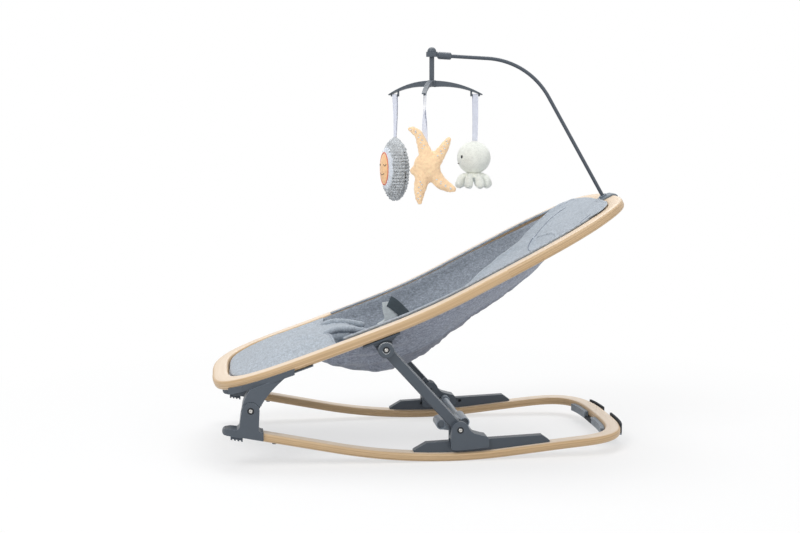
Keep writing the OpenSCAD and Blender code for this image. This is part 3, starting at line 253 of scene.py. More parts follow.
def plush(name, rgb, tip=1.22, root=0.62, scale=420.0, depth=0.0016, sheen=0.7):
    """Short pile matted into small tufts: lighter tips, and darker roots as painted shade in the hollows
    between tufts.
    """
    m = Mat(name, rough=1.0, sheen=sheen, spec=0.1)
    base = lin(*rgb)
    tufts = m.noise(scale, 5, 0.72, warp=0.6)
    clumps = m.noise(scale * 0.22, 3, 0.6, warp=0.4)
    h = m.math("ADD", m.times(tufts, 0.65), m.times(clumps, 0.35))
    # painted shade: the colour darkens where the pile's relief is low
    m.colour(m.ramp(h, [(0.36, scale_rgb(base, root)), (0.5, base), (0.64, scale_rgb(base, tip))]))
    m.bump(h, 0.9, depth)
    return m.m


def wood(name):
    """Bent laminated beech: the grain follows the member, and its layers show along the sides."""
    m = Mat(name, rough=0.46, spec=0.42, coat=0.12)
    at = m.add("Attribute", attribute_name="grain").outputs["Vector"]
    broad = m.noise(1.0, 3, 0.5, m.scaled((3.2, 55, 70), at), warp=0.3)
    fine = m.noise(1.0, 4, 0.6, m.scaled((16, 520, 600), at))
    layers = m.noise(1.0, 1, 0.4, m.scaled((0.9, 6, 430), at))
    fleck = m.noise(1.0, 2, 0.5, m.scaled((95, 900, 900), at))
    lines = m.noise(1.0, 2, 0.5, m.scaled((1.6, 30, 620), at))
    # the sides: layers of wood, darker along the glue lines
    c = m.ramp(broad, [(0.25, lin(219, 192, 154)), (0.5, lin(231, 206, 171)), (0.78, lin(239, 218, 188))])
    c = m.mix(m.fade(layers, 0.42, 0.62, 1.0, 0.0), lin(205, 174, 132), c)
    c = m.mix(0.34, c, m.ramp(broad, [(0.25, lin(222, 196, 158)), (0.8, lin(240, 220, 190))]))
    c = m.mix(m.fade(fine, 0.3, 0.55, 0.34, 0.0), c, lin(203, 172, 132))
    c = m.mix(0.5, c, lin(214, 196, 170), "MULTIPLY")
    c = m.mix(m.fade(lines, 0.4, 0.56, 0.55, 0.0), c, lin(172, 142, 104))
    # the top and bottom faces: their face grain, painted paler there as a highlight
    flat = m.ramp(broad, [(0.25, lin(226, 206, 182)), (0.8, lin(236, 221, 203))])
    flat = m.mix(m.fade(fine, 0.3, 0.6, 0.3, 0.0), flat, lin(208, 182, 152))
    level = m.math("ABSOLUTE", m.height_of(m.add("NewGeometry").outputs["Normal"]))
    c = m.mix(m.fade(level, 0.72, 0.97), c, flat)
    m.colour(m.mix(m.fade(fleck, 0.66, 0.76, 0.0, 0.35), c, lin(196, 160, 118)))
    m.bump(m.math("ADD", fine, m.times(layers, 0.5)), 0.16, 0.0003)
    return m.m


MATS = {
    "wood": wood("wood"),
    "slate": plastic("slate_plastic", (75, 83, 92)),
    "track": plastic("track_plastic", (64, 72, 81)),
    "dark": plastic("dark_plastic", (58, 66, 76), rough=0.5),
    "clip": plastic("clip_plastic", (112, 122, 132)),
    "grip": plastic("grip_plastic", (128, 137, 147), rough=0.36),
    "bar": plastic("bar_plastic", (158, 168, 177), rough=0.36),
    "rubber": rubber("black_rubber", (50, 55, 61)),
    "pads": rubber("pad_rubber", (82, 90, 99)),
    "steel": metal("steel", (196, 194, 190)),
    "rod": plastic("rod_paint", (70, 78, 88), rough=0.38, edge=0.0004),
    "sling": fabric("sling_fabric", (138, 146, 157), contrast=0.3),
    # painted highlight: pale lines along the struts' upward-facing edges
    "strut": plastic("strut_plastic", (72, 80, 89), edge=0.0016, edge_highlight=0.95, rim=True),
    "belly": fabric("belly_fabric", (152, 159, 174), contrast=0.3),
    "belly_low": fabric("belly_low_fabric", (126, 132, 147), contrast=0.18),
    "liner": fabric("liner_fabric", (174, 183, 193), contrast=0.24),
    "pad": fabric("pad_fabric", (172, 181, 191), contrast=0.15),
    "webbing": fabric("webbing", (216, 223, 225), contrast=0.08, weave=900, depth=0.0004),
    # painted shade: the webbing's own cloth, darkened for its run in shadow
    "webbing_painted_shade": fabric("webbing_painted_shade", (78, 88, 94), contrast=0.08, weave=900, depth=0.0004),
    "thread": fabric("thread", (120, 130, 146), contrast=0.05, weave=1500, depth=0.0003),
    "ribbon": fabric("ribbon", (228, 232, 246), contrast=0.04, weave=1300, sheen=0.4, depth=0.0002),
    "grey": plush("grey_plush", (192, 197, 201), tip=1.3, root=0.6),
    "orange": plush("orange_plush", (255, 219, 178), tip=1.16, root=0.82, scale=520, depth=0.001, sheen=0.4),
    "face": plush("face_plush", (253, 206, 158), tip=1.1, root=0.8, scale=560, depth=0.0008, sheen=0.3),
    "white": plush("white_plush", (240, 243, 236), tip=1.1, root=0.84, scale=480, depth=0.001, sheen=0.4),
    "mouth": fabric("stitch_dark", (70, 60, 58), contrast=0.05, weave=1500, depth=0.0002),
    "black": plastic("black_plastic", (34, 38, 43), rough=0.5),
    "pale": plush("pale_plush", (222, 229, 238), tip=1.06, root=0.84, scale=480, depth=0.0008, sheen=0.3),
    "outline": fabric("stitch_orange", (232, 122, 92), contrast=0.06, weave=1500, depth=0.0002),
    "eye": plastic("eye_bead", (24, 26, 30), rough=0.12),
}


# ---------------------------------------------------------------- meshes


def put_mesh(name, verts_mm, faces, mat, body, grain=None):
    """A smooth mesh object from points in mm, riding on a body; grain holds the wood's own coordinates."""
    me = bpy.data.meshes.new(name)
    me.from_pydata((np.asarray(verts_mm, float) * MM).tolist(), [], [tuple(int(i) for i in f) for f in faces])
    me.validate()
    smooth_faces(me)
    if grain is not None:
        a = me.attributes.new("grain", "FLOAT_VECTOR", "POINT")
        a.data.foreach_set("vector", (np.asarray(grain, np.float32) * MM).ravel())
    me.materials.append(mat)
    ob = bpy.data.objects.new(name, me)
    bpy.context.scene.collection.objects.link(ob)
    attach(ob, body)
    return ob


def smooth_faces(me):
    me.polygons.foreach_set("use_smooth", [True] * len(me.polygons))


def grid_faces(rows, cols, wrap_rows=False):
    """Faces between rings of cols points; wrap_rows joins the last ring to the first."""
    out = []
    for i in range(rows if wrap_rows else rows - 1):
        for j in range(cols):
            a, b = i * cols + j, i * cols + (j + 1) % cols
            k = ((i + 1) % rows) * cols
            out.append((a, b, k + (j + 1) % cols, k + j))
    return out


def capped(rows, cols):
    """Faces between rings of cols points, with one more face over each end."""
    ends = [tuple(range(cols))[::-1], tuple(range((rows - 1) * cols, rows * cols))]
    return grid_faces(rows, cols) + ends


def section(x, y, top, low):
    """Ring of points across a cushion: along its upper line, and back along the lower one."""
    x = np.broadcast_to(x, y.shape)
    up, down = np.column_stack([x, y, top]), np.column_stack([x, y, low])
    return np.concatenate([up, down[1:-1][::-1]])


def cushion(name, rings, mat):
    return put_mesh(name, np.concatenate(rings), capped(len(rings), len(rings[0])), MATS[mat], "seat")


def heading(a):
    """Level direction at an angle in radians."""
    return np.array([math.cos(a), math.sin(a), 0])


def on_ball(t, w):
    """Point of a unit ball, t radians down from its top and w round it."""
    return np.array([math.sin(t) * math.cos(w), math.sin(t) * math.sin(w), math.cos(t)])


def unit(v):
    return v / np.linalg.norm(v)


def bell(x, width):
    return np.exp(-((x / width) ** 2))


def over(ob, x, y):
    """Height of an object's upper face at a plan point, in mm, or None beside it."""
    hit, at, _, _ = ob.ray_cast(Vector((x * MM, y * MM, 2.0)), Vector((0, 0, -1)))
    return at.z / MM if hit else None


def coords_of(ob):
    co = np.zeros(len(ob.data.vertices) * 3)
    ob.data.vertices.foreach_get("co", co)
    return co.reshape(-1, 3) / MM


def set_coords(ob, co):
    ob.data.vertices.foreach_set("co", (np.asarray(co, np.float32) * MM).ravel())
    ob.data.update()


def normals_of(ob):
    n = np.zeros(len(ob.data.vertices) * 3)
    ob.data.vertices.foreach_get("normal", n)
    return n.reshape(-1, 3)


def wob(p, scale, seed=1, waves=6):
    """Smooth repeatable noise from -1 to 1 at points p in mm; scale is the wavelength in mm."""
    rng = np.random.RandomState(seed)
    out = np.zeros(len(p))
    for _ in range(waves):
        d = unit(rng.normal(size=3))
        out += np.sin(2 * math.pi * (p @ d) / (scale * rng.uniform(0.7, 1.4)) + rng.uniform(0, 6.28))
    return out / waves * 1.6


def push(ob, amount):
    """Moves a mesh's points along their normals by amount(points in mm) mm."""
    co = coords_of(ob)
    set_coords(ob, co + normals_of(ob) * np.asarray(amount(co))[:, None])


def step(x, a, b):
    t = np.clip((np.asarray(x, float) - a) / (b - a), 0, 1)
    return t * t * (3 - 2 * t)


def spline(points, per=8, closed=False):
    """Points along a smooth line through the given ones (Catmull-Rom)."""
    p = [np.asarray(q, float) for q in points]
    n = len(p)
    out = []
    for i in range(n if closed else n - 1):
        if closed:
            a, b, c, d = p[i - 1], p[i], p[(i + 1) % n], p[(i + 2) % n]
        else:
            a, b, c, d = p[max(i - 1, 0)], p[i], p[i + 1], p[min(i + 2, n - 1)]
        for k in range(per):
            t = k / per
            square, cube = 2 * a - 5 * b + 4 * c - d, 3 * b - a - 3 * c + d
            out.append(0.5 * (2 * b + (c - a) * t + square * t * t + cube * t**3))
    if not closed:
        out.append(p[-1])
    return np.array(out)


def tube(name, line, radius, mat, body, sides=8, closed=False):
    """A round tube along a line in mm; radius is a number or one per point."""
    line = np.asarray(line, float)
    n = len(line)
    r = np.full(n, radius) if np.isscalar(radius) else np.asarray(radius, float)
    if closed:
        t = np.roll(line, -1, 0) - np.roll(line, 1, 0)
    else:
        t = np.gradient(line, axis=0)
    t /= np.linalg.norm(t, axis=1)[:, None]
    u = np.cross(t[0], [0.3, 0.5, 0.8])
    verts = []
    for i in range(n):
        u = unit(u - t[i] * (u @ t[i]))
        v = np.cross(t[i], u)
        for k in range(sides):
            w = 2 * math.pi * k / sides
            verts.append(line[i] + r[i] * (u * math.cos(w) + v * math.sin(w)))
    faces = grid_faces(n, sides, True) if closed else capped(n, sides)
    return put_mesh(name, verts, faces, mat, body)


def strap(name, points, across, width, thick, mat, body, per=8):
    """Flat webbing through points, its width along the across vectors, slightly thicker at its edges."""
    line = spline(points, per)
    side = spline(across, per)
    n = len(line)
    t = np.gradient(line, axis=0)
    prof = [(-1, -0.5), (-0.94, -1), (-0.8, -0.8), (0, -0.72), (0.8, -0.8), (0.94, -1), (1, -0.5)]
    prof = prof + [(1, 0.5), (0.94, 1), (0.8, 0.8), (0, 0.72), (-0.8, 0.8), (-0.94, 1), (-1, 0.5)]
    verts = []
    for i in range(n):
        ti = unit(t[i])
        s = unit(side[i] - ti * (side[i] @ ti))
        u = np.cross(ti, s)
        w = width[i * len(width) // n] if hasattr(width, "__len__") else width
        for a, b in prof:
            verts.append(line[i] + s * a * w / 2 + u * b * thick / 2)
    return put_mesh(name, verts, capped(n, len(prof)), mat, body)


def refine(ob, smooth=0):
    """Evens a mesh out over some steps and subdivides it once."""
    if smooth:
        ob.modifiers.new("smooth", "SMOOTH").iterations = smooth
    sub = ob.modifiers.new("subdivision", "SUBSURF")
    sub.levels = sub.render_levels = 1
    bake(ob)


def puff(ob, pressure, cap, frames, smooth, voxel=0):
    body = ob.parent
    ob.parent = None
    if voxel:
        rm = ob.modifiers.new("remesh", "REMESH")
        rm.mode = "VOXEL"
        rm.voxel_size = voxel * MM
        rm.use_smooth_shade = True
        bake(ob)
    rest = coords_of(ob)
    cl = ob.modifiers.new("cloth", "CLOTH")
    s = cl.settings
    s.use_pressure = True
    s.uniform_pressure_force = pressure
    s.effector_weights.gravity = 0
    s.quality = 5
    s.mass = 0.25
    s.tension_stiffness = s.compression_stiffness = 12
    s.bending_stiffness = 0.4
    cl.collision_settings.use_collision = False
    cl.collision_settings.use_self_collision = False
    scene = bpy.context.scene
    for f in range(1, frames + 1):
        scene.frame_set(f)
    bake(ob)
    moved = coords_of(ob) - rest
    far = np.linalg.norm(moved, axis=1)
    moved *= (np.minimum(far, cap) / np.maximum(far, 1e-6))[:, None]
    set_coords(ob, rest + moved)
    scene.frame_set(1)
    refine(ob, smooth)
    smooth_faces(ob.data)
    ob.parent = body


def bake(ob):
    """Applies every modifier of a mesh object and keeps its materials."""
    dg = bpy.context.evaluated_depsgraph_get()
    dg.update()
    me = bpy.data.meshes.new_from_object(ob.evaluated_get(dg), depsgraph=dg)
    mats = list(ob.data.materials)
    ob.modifiers.clear()
    old = ob.data
    ob.data = me
    me.name = ob.name
    if not me.materials:
        for m in mats:
            me.materials.append(m)
    bpy.data.meshes.remove(old)


# ---------------------------------------------------------------- shape of the hoop and the sling

HOOP_LO, HOOP_HI = mm_box("hoop")
X0, X1 = HOOP_LO[0], HOOP_HI[0]
FOOT_HALF, HEAD_HALF = 194.0, 200.0
WOOD_W, WOOD_T = 32.0, 18.0
FOOT_LEN, HEAD_LEN = 186.0, 256.0
FOOT_CX, HEAD_CX = X0 + FOOT_LEN, X1 - HEAD_LEN
# How square the two ends of the hoop are, and the running gap between its inner edge and the sling
FOOT_N, HEAD_N = 3.6, 2.9
SLING_GAP = 0.8


def height_line(knots, x_ref, z_ref):
    """Height along X from knots of slope, as a function."""
    xs = np.linspace(-500, 500, 4001)
    s = np.interp(xs, [k[0] for k in knots], [k[1] for k in knots])
    z = np.concatenate([[0], np.cumsum((s[1:] + s[:-1]) / 2 * np.diff(xs))])
    z += z_ref - np.interp(x_ref, xs, z)
    return (lambda x: np.interp(x, xs, z)), (lambda x: np.interp(x, xs, s))


hoop_z, hoop_slope = height_line(
    [(-600, 0.355), (X0, 0.355), (X0 + 128, 0.34), (X0 + 328, 0.37), (X0 + 478, 0.512), (X1 - 73, 0.512),
     (X1, 0.3), (600, 0.3)], X0, 133.0)
REST_X, ROCKER_R = 35.0, 1067.0
RAIL_BACK = mm_box("rocker_rails")[1][0]
rail_base, rail_slope = height_line(
    [(-600, -0.2), (REST_X - ROCKER_R * 0.2, -0.2), (REST_X + ROCKER_R * 0.1, 0.1), (RAIL_BACK - 143, 0.1),
     (RAIL_BACK, 0.01), (600, 0.01)], REST_X, 0.0)


def super_end(cx, a, b, n, turns):
    """Points of a squared-off ellipse at given turns in degrees."""
    t = np.radians(turns)
    r = (np.abs(np.cos(t) / a) ** n + np.abs(np.sin(t) / b) ** n) ** (-1 / n)
    return np.stack([cx + r * np.cos(t), r * np.sin(t)], 1)


def line_between(a, b, n):
    return np.array([np.asarray(a) + (np.asarray(b) - np.asarray(a)) * i / n for i in range(1, n)])


def hoop_plan(off=0.0, straight=40):
    """Plan line at a distance inside (negative) or outside the middle of the wood, anticlockwise, closed."""
    w = WOOD_W / 2
    p = np.concatenate([
        super_end(HEAD_CX, HEAD_LEN - w, HEAD_HALF - w, HEAD_N, np.arange(-90, 90.1, 3.0)),
        line_between((HEAD_CX, HEAD_HALF - w), (FOOT_CX, FOOT_HALF - w), straight),
        super_end(FOOT_CX, FOOT_LEN - w, FOOT_HALF - w, FOOT_N, np.arange(90, 270.1, 3.0)),
        line_between((FOOT_CX, w - FOOT_HALF), (HEAD_CX, w - HEAD_HALF), straight)])
    return p + plan_normals(p) * off


def plan_normals(p):
    s = np.roll(p, -1, 0) - np.roll(p, 1, 0)
    n = np.stack([s[:, 1], -s[:, 0]], 1)
    return n / np.linalg.norm(n, axis=1)[:, None]


def rounded_section(w, h, r, n=5):
    out = []
    for sx, sy, a in ((1, 1, 0), (-1, 1, 90), (-1, -1, 180), (1, -1, 270)):
        for j in range(n + 1):
            t = math.radians(a + 90 * j / n)
            out.append((sx * (w / 2 - r) + r * math.cos(t), sy * (h / 2 - r) + r * math.sin(t)))
    return np.array(out)


def bent_wood(name, node, plan, z_of, slope_of, bank_of, w, h, closed, body):
    """A bent laminated member: a rounded section swept along its plan line, with grain coordinates."""
    sec = rounded_section(w, h, 6.0)
    if closed:
        plan = np.concatenate([plan, plan[:1]])
    s = np.gradient(plan, axis=0)
    if closed:
        s[0] = s[-1] = plan[1] - plan[-2]
    run = np.concatenate([[0], np.cumsum(np.linalg.norm(np.diff(plan, axis=0), axis=1))])
    verts, grain = [], []
    for i, (x, y) in enumerate(plan):
        t = unit(np.array([s[i][0], s[i][1], slope_of(x) * s[i][0]]))
        b = np.array([-bank_of(x), 0, 1.0])
        u = unit(b - t * (b @ t))
        v = np.cross(t, u)
        for a, c in sec:
            verts.append(np.array([x, y, z_of(x)]) + v * a + u * c)
            grain.append((run[i], a, c))
    k = len(sec)
    faces = grid_faces(len(plan), k) if closed else capped(len(plan), k)
    ob = put_mesh(name, verts, faces, MATS["wood"], body, grain)
    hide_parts(node)


bent_wood("hoop_wood", "hoop", hoop_plan(), hoop_z, hoop_slope,
          lambda x: 0.512 if x > HEAD_CX else hoop_slope(x), WOOD_W, WOOD_T, True, "seat")

RAIL_W, RAIL_T, RAIL_HALF = 30.0, 16.0, 198.0
RAIL_Y = RAIL_HALF - RAIL_W / 2
# The bend at the back: its length, and how square it is
RAIL_BEND, RAIL_N = 137, 3.4
RAIL_CX = RAIL_BACK - RAIL_BEND
# The rails start a little in front of their hinge pins
PIN_HEAD_R, RAIL_START = 6.0, 8.0
RAIL_X0 = mm_box("front_hinge_pins")[0][0] + PIN_HEAD_R - RAIL_START


def rail_mid(x):
    return rail_base(x) + RAIL_T * np.sqrt(1 + rail_slope(x) ** 2) / 2


rail_plan = np.concatenate([
    [(RAIL_X0, -RAIL_Y)], line_between((RAIL_X0, -RAIL_Y), (RAIL_CX, -RAIL_Y), 70),
    super_end(RAIL_CX, RAIL_BEND - RAIL_W / 2, RAIL_Y, RAIL_N, np.arange(-90, 90.1, 3)),
    line_between((RAIL_CX, RAIL_Y), (RAIL_X0, RAIL_Y), 70), [(RAIL_X0, RAIL_Y)]])
bent_wood("rail_wood", "rocker_rails", rail_plan, rail_mid, rail_slope,
          rail_slope, RAIL_W, RAIL_T, False, "base")

SLING_T = 9.0
# Depth of the sling's underside below the hoop, along its middle: distance from the foot end, depth
DEPTH_KNOTS = [
    (20, 6), (90, 11.5), (170, 19.5), (196, 29.9), (213, 46), (255, 70.1), (291, 86.2), (328, 103.5),
    (380, 115), (420, 109.2), (456, 95.4), (506, 84), (575, 73.6), (616, 61), (650, 46), (690, 29.9),
    (767, 10)]


def across(x, y):
    """Share of the sling's full depth at a plan point: 0 at the hoop, 1 along the middle."""
    head, foot = x > HEAD_CX, x < FOOT_CX
    edge = WOOD_W + SLING_GAP
    u = np.where(foot, (FOOT_CX - x) / (FOOT_LEN - edge), 0)
    u = np.where(head, (x - HEAD_CX) / (HEAD_LEN - edge), u)
    e = np.where(head, HEAD_N, FOOT_N)
    hh, fh = HEAD_HALF - edge, FOOT_HALF - edge
    b = np.where(head, hh, np.where(foot, fh, fh + (hh - fh) * (x - FOOT_CX) / (HEAD_CX - FOOT_CX)))
    r = (np.abs(u) ** e + np.abs(y / b) ** e) ** (1 / e)
    return np.maximum(0, 1 - np.minimum(1, r) ** 2.2)


def depth_at(x):
    return smooth_interp(x, [X0 + k[0] for k in DEPTH_KNOTS], [k[1] for k in DEPTH_KNOTS], 9.0)


def smooth_interp(x, xs, ys, soft):
    """Linear interpolation, rounded off over about soft mm at its knots."""
    x = np.asarray(x, float)
    return sum(np.interp(x + d * soft, xs, ys) * 0.2 for d in (-1, -0.5, 0, 0.5, 1))


def sling_low(x, y):
    return hoop_z(x) - depth_at(x) * across(x, y)


def sling_high(x, y):
    return sling_low(x, y) + SLING_T


def sling_mid(x, y):
    return (sling_low(x, y) + sling_high(x, y)) / 2


def shell(name, rings_top, rings_low, mat, body):
    """Closed form from rings of points, given from the rim inwards for its upper and its lower side."""
    n = len(rings_top[0])
    rings = list(rings_top[::-1]) + list(rings_low)
    verts = np.concatenate([np.mean(rings_top[-1], 0)[None]] + rings + [np.mean(rings_low[-1], 0)[None]])
    faces = [tuple(1 + i for i in f) for f in grid_faces(len(rings), n)]
    last = len(verts) - 1
    k = 1 + (len(rings) - 1) * n
    for j in range(n):
        faces.append((0, 1 + (j + 1) % n, 1 + j))
        faces.append((last, k + j, k + (j + 1) % n))
    return put_mesh(name, verts, faces, mat, body)


def rim_rings(inset_list):
    """Plan rings at distances inside the hoop's inner edge."""
    base = hoop_plan(-(WOOD_W / 2 + SLING_GAP))
    n = plan_normals(base)
    x_end = np.maximum(0, n[:, 0])[:, None] * 3.0
    return [base - n * (d + x_end) for d in inset_list]


def lift(ring, z):
    return np.column_stack([ring, z])


def build_sling():
    """The sling: a rolled edge inside the hoop, a deep seat and a long back, with its folds underneath."""
    insets = [0.0, 0.4, 1.6, 3.6, 6.5, 10, 14, 19, 25]
    rims = rim_rings(insets)
    centre = np.array((X0 + 400, 0), float)
    inner = [centre + (rims[-1] - centre) * (1 - 0.027 * i) for i in range(1, 37)]
    rise = [0.0, 3.4, 6.8, 9.4, 10.6, 10.2]
    drop = [-2.0, -4.2, -6.6, -8.2, -9.2, -10.0]
    top, low = [], []
    for k, p in enumerate(rims + inner):
        x, y = p[:, 0], p[:, 1]
        d = insets[k] if k < len(insets) else 40.0
        w = float(step(d, 7.0, 22.0))
        zt = hoop_z(x) + rise[min(k, 5)] * (0.4 + 0.35 * step(x, -205, -165) - 0.4 * step(x, 100, 240))
        top.append(lift(p, zt * (1 - w) + (sling_high(x, y) + 0.6) * w))
        w = float(step(d, 5.0, 16.0))
        zl = hoop_z(x) + drop[min(k, 5)]
        low.append(lift(p, zl * (1 - w) + sling_low(x, y) * w))
    ob = shell("sling_cloth", top, low, MATS["sling"], "seat")
    # 0 is the upper side, 1 the underside and 2 its panel inside the seam
    ob.data.materials.append(MATS["belly"])
    ob.data.materials.append(MATS["belly_low"])
    side = np.zeros(len(ob.data.polygons), int)
    centre = np.zeros(len(ob.data.polygons) * 3)
    ob.data.polygons.foreach_get("center", centre)
    x, y, z = centre.reshape(-1, 3).T / MM
    side[z < sling_mid(x, y)] = 1
    side[(side == 1) & (across(x, y) > seam_share(x)) & (x > -56) & (x < 214)] = 2
    ob.data.polygons.foreach_set("material_index", side)
    refine(ob)

    def folds(p):
        x, y, z = p.T
        a = across(x, y)
        side = step(a, 0.12, 0.4)
        below = z < sling_mid(x, y)
        # long rolls of loose cloth under the front of the seat
        front = step(x, -200, -165) * (1 - step(x, -70, -20)) * side
        roll = front * (-3.4 + 4.4 * np.sin(19.0 * a + 0.02 * x + 1.6 * wob(p, 80, 3)) + 2.0 * wob(p, 34, 5))
        # creases that run up from the deepest line, beside the seat and the back
        seam = seam_share(x)
        mid = step(x, -60, -20) * (1 - step(x, 130, 215)) * step(a, seam + 0.02, seam + 0.14)
        ride = np.sin(0.155 * (x + 0.7 * np.abs(y)) + 2.2 * wob(p, 62, 7))
        crease = 4.2 * np.maximum(0, ride) ** 3 - 1.6 * np.maximum(0, -ride) ** 2
        crease = mid * (crease + 1.2 * wob(p, 22, 17))
        hem = -2.2 * bell(a - seam, 0.02) * step(x, -70, -40) * (1 - step(x, 190, 240))
        soft = 1.1 * wob(p, 60, 9) * side + 0.35 * wob(p, 18, 11)
        inside = 0.7 * wob(p, 75, 13) * side + 0.3 * wob(p, 22, 15)
        return np.where(below, roll + crease + hem + soft, inside)

    push(ob, folds)
    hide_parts("seat_sling")


def seam_share(x):
    """Where the seam of the side panel runs, as a share of the sling's depth."""
    return 0.66 + 0.08 * step(x, -60, 120)


build_sling()

# Seams on the underside of the sling
for s, side in SIDES:
    line = []
    for x in np.linspace(-52, 205, 60):
        ys = np.linspace(20, 166, 300)
        y = float(np.interp(-seam_share(x), -across(np.full(300, x), ys), ys))
        line.append((x, s * (y + 0.2), float(sling_low(np.array([x]), np.array([y]))[0]) - 0.4))
    seam = tube("side_seam_" + side, line, 0.9, MATS["thread"], "seat", 6)


def build_liner():
    """Padded leg cover that fills the foot of the hoop, with its hem across the leg openings."""
    edge = WOOD_W + 1.3
    tip = FOOT_CX - (FOOT_LEN - edge)
    half = FOOT_HALF - edge
    hem_x = -168
    length = hem_x - tip

    def hem(y):
        """X of the hem, which reaches further back under the crotch bridge."""
        a = np.abs(y)
        return -186 + 18 * np.clip(a / 158, 0, 1) ** 1.5 + 34 * (1 - step(a, 40, 66))

    def quarter(t):
        return np.sqrt(np.maximum(0, 1 - (1 - np.minimum(1, t)) ** 2))

    us = np.concatenate([[0.15, 0.5, 1.1, 2.0, 3.2, 5, 7.5, 11, 15, 20], np.arange(26, length - 13, 5.0),
                         np.linspace(length - 12, length, 11)])
    vs = np.sin(np.linspace(-math.pi / 2, math.pi / 2, 111)) * 0.5 + np.linspace(-1, 1, 111) * 0.5
    rings = []
    for u in us:
        x = tip + u
        bent = x < FOOT_CX
        share = min(1.0, max(0.0, (FOOT_CX - x) / (FOOT_CX - tip)))
        w = half * (1 - share ** FOOT_N) ** (1 / FOOT_N) if bent else half
        y = vs * w
        a = np.abs(y)
        xs = x + (hem(y) - hem_x) * (u / length) ** 3
        r = np.abs(y / half)
        if bent:
            r = (np.clip((FOOT_CX - xs) / (FOOT_CX - tip), 0, 1) ** FOOT_N + r ** FOOT_N) ** (1 / FOOT_N)
        d = np.minimum((1 - np.minimum(1, r)) * 130, (1 - np.abs(vs)) * w + (0 if u > 40 else 60))
        # height of the cover: a crown of padding, flatter beside the bridge, under which it ends
        flatter = 1 - 0.62 * step(xs, -238, -178) * (1 - step(a, 60, 110))
        zc = hoop_z(xs) + 8.4
        zc = zc + 14.0 * (1 - (a / 166) ** 2.4) * step(d, -4, 46) * step(xs, tip, tip + 80) * flatter
        zc = zc - 26 * step(xs, -186, -150)
        groove = bell(a - (58 + 0.8 * (xs + 230)), 9)
        zc = zc - 4.6 * groove * step(xs, -262, -232) * (1 - step(xs, -200, -188))
        e = np.maximum(np.minimum(quarter(d / 8), quarter(np.maximum(0, hem(y) - xs) / 8)), 0.02)
        zl = np.minimum(np.maximum(sling_high(xs, y) + 1.0, zc - 18), zc - 3)
        mid = np.minimum(zc - 4.5, (zc + zl) / 2)
        rings.append(section(xs, y, mid + (zc - mid) * e, mid + (zl - mid) * e))
    ob = cushion("leg_cover", rings, "liner")
    push(ob, lambda p: 0.9 * wob(p, 60, 21) * step(p[:, 0], tip + 6, tip + 30) + 0.3 * wob(p, 21, 22))
    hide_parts("leg_liner")
    # the hem's piping
    for s, side in SIDES:
        line = []
        for y in s * np.linspace(64, 152, 50):
            x = float(hem(y)) - 5.0
            z = over(ob, x, y)
            if z is not None:
                line.append((x + 1.5, y, z + 0.3))
        tube("leg_cover_hem_" + side, line, 2.0, MATS["pad"], "seat", 10)


build_liner()


def build_flap():
    """Padded bridge between the leg openings, with a rolled and stitched hem along both sides."""
    def top_line(x):
        return smooth_interp(x, [-212, -200, -188, -165, -140, -120, -104, -90],
                             [210, 219, 224, 227.5, 228.5, 223, 213, 196], 3)

    def half(x):
        return 57 - 9 * step(x, -190, -100)

    vs = np.linspace(-1, 1, 61)
    rings = []
    for x in np.linspace(-208, -93, 60):
        w = float(half(x))
        y = vs * w
        a = np.abs(y) - (w - 9)
        z = top_line(x) - 5 * np.abs(vs) ** 3
        roll = 1.5 * bell(a, 6.5) * float(step(x, -200, -178)) * (1 - 0.5 * float(step(x, -120, -95)))
        edge = np.sqrt(np.maximum(0, 1 - np.clip(a / 9, 0, 1) ** 2))
        body = z - 9
        under = np.minimum(np.maximum(z - 19 - 5 * bell(a, 7), sling_high(np.full(61, x), y) + 1.2), body - 1)
        rings.append(section(x, y, body + (z + roll - body) * edge, body + (under - body) * edge))
    ob = cushion("crotch_bridge", rings, "pad")
    puff(ob, 1.5, 2.5, 12, 4)

    def ribs(p):
        x, y, z = p.T
        on = bell(np.abs(y) - (half(x) - 8), 7) * step(x, -196, -180)
        return on * (0.8 * np.sin(0.95 * x) * 0.6 + 1.3 * wob(p, 14, 31)) + 0.8 * wob(p, 46, 33)

    push(ob, ribs)
    for s, side in SIDES:
        xs = np.linspace(-192, -100, 60)
        z = smooth_interp(xs, [-194, -186, -176, -161, -130, -104, -98],
                          [210, 219, 225, 228.5, 227, 221.5, 219], 3)
        line = np.column_stack([xs, s * (half(xs) - 6), z])
        thick = 5.8 * np.sqrt(np.clip(np.minimum((xs + 193.5) / 9, (-98.5 - xs) / 9), 0.05, 1))
        roll = tube("bridge_roll_" + side, line, thick, MATS["pad"], "seat", 20)
        push(roll, lambda p: 0.55 * np.sin(1.15 * p[:, 0]) + 0.5 * wob(p, 12, 31))
    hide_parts("crotch_flap")
    # two rows of stitches on the outer face of each side, laid on where a level ray meets it
    for s, side in SIDES:
        for row, drop in enumerate((-1.0, 6.5)):
            line = []
            for x in np.linspace(-194 + 5 * row, -104 - 6 * row, 44):
                z = float(top_line(x)) - drop
                hit, at, _, _ = ob.ray_cast(Vector((x * MM, s * 0.14, z * MM)), Vector((0, -s, 0)))
                if hit and abs(at.y / MM) > 34:
                    line.append((x, at.y / MM - 0.1 * s, z))
            if len(line) > 8:
                st = tube("bridge_seam_%s_%d" % (side, row), line, 0.8, MATS["thread"], "seat", 6)


build_flap()

# The head cushion on the back pad: X of its middle, and its half length and half width
CUSHION_X, CUSHION_A, CUSHION_B = 300, 76, 98


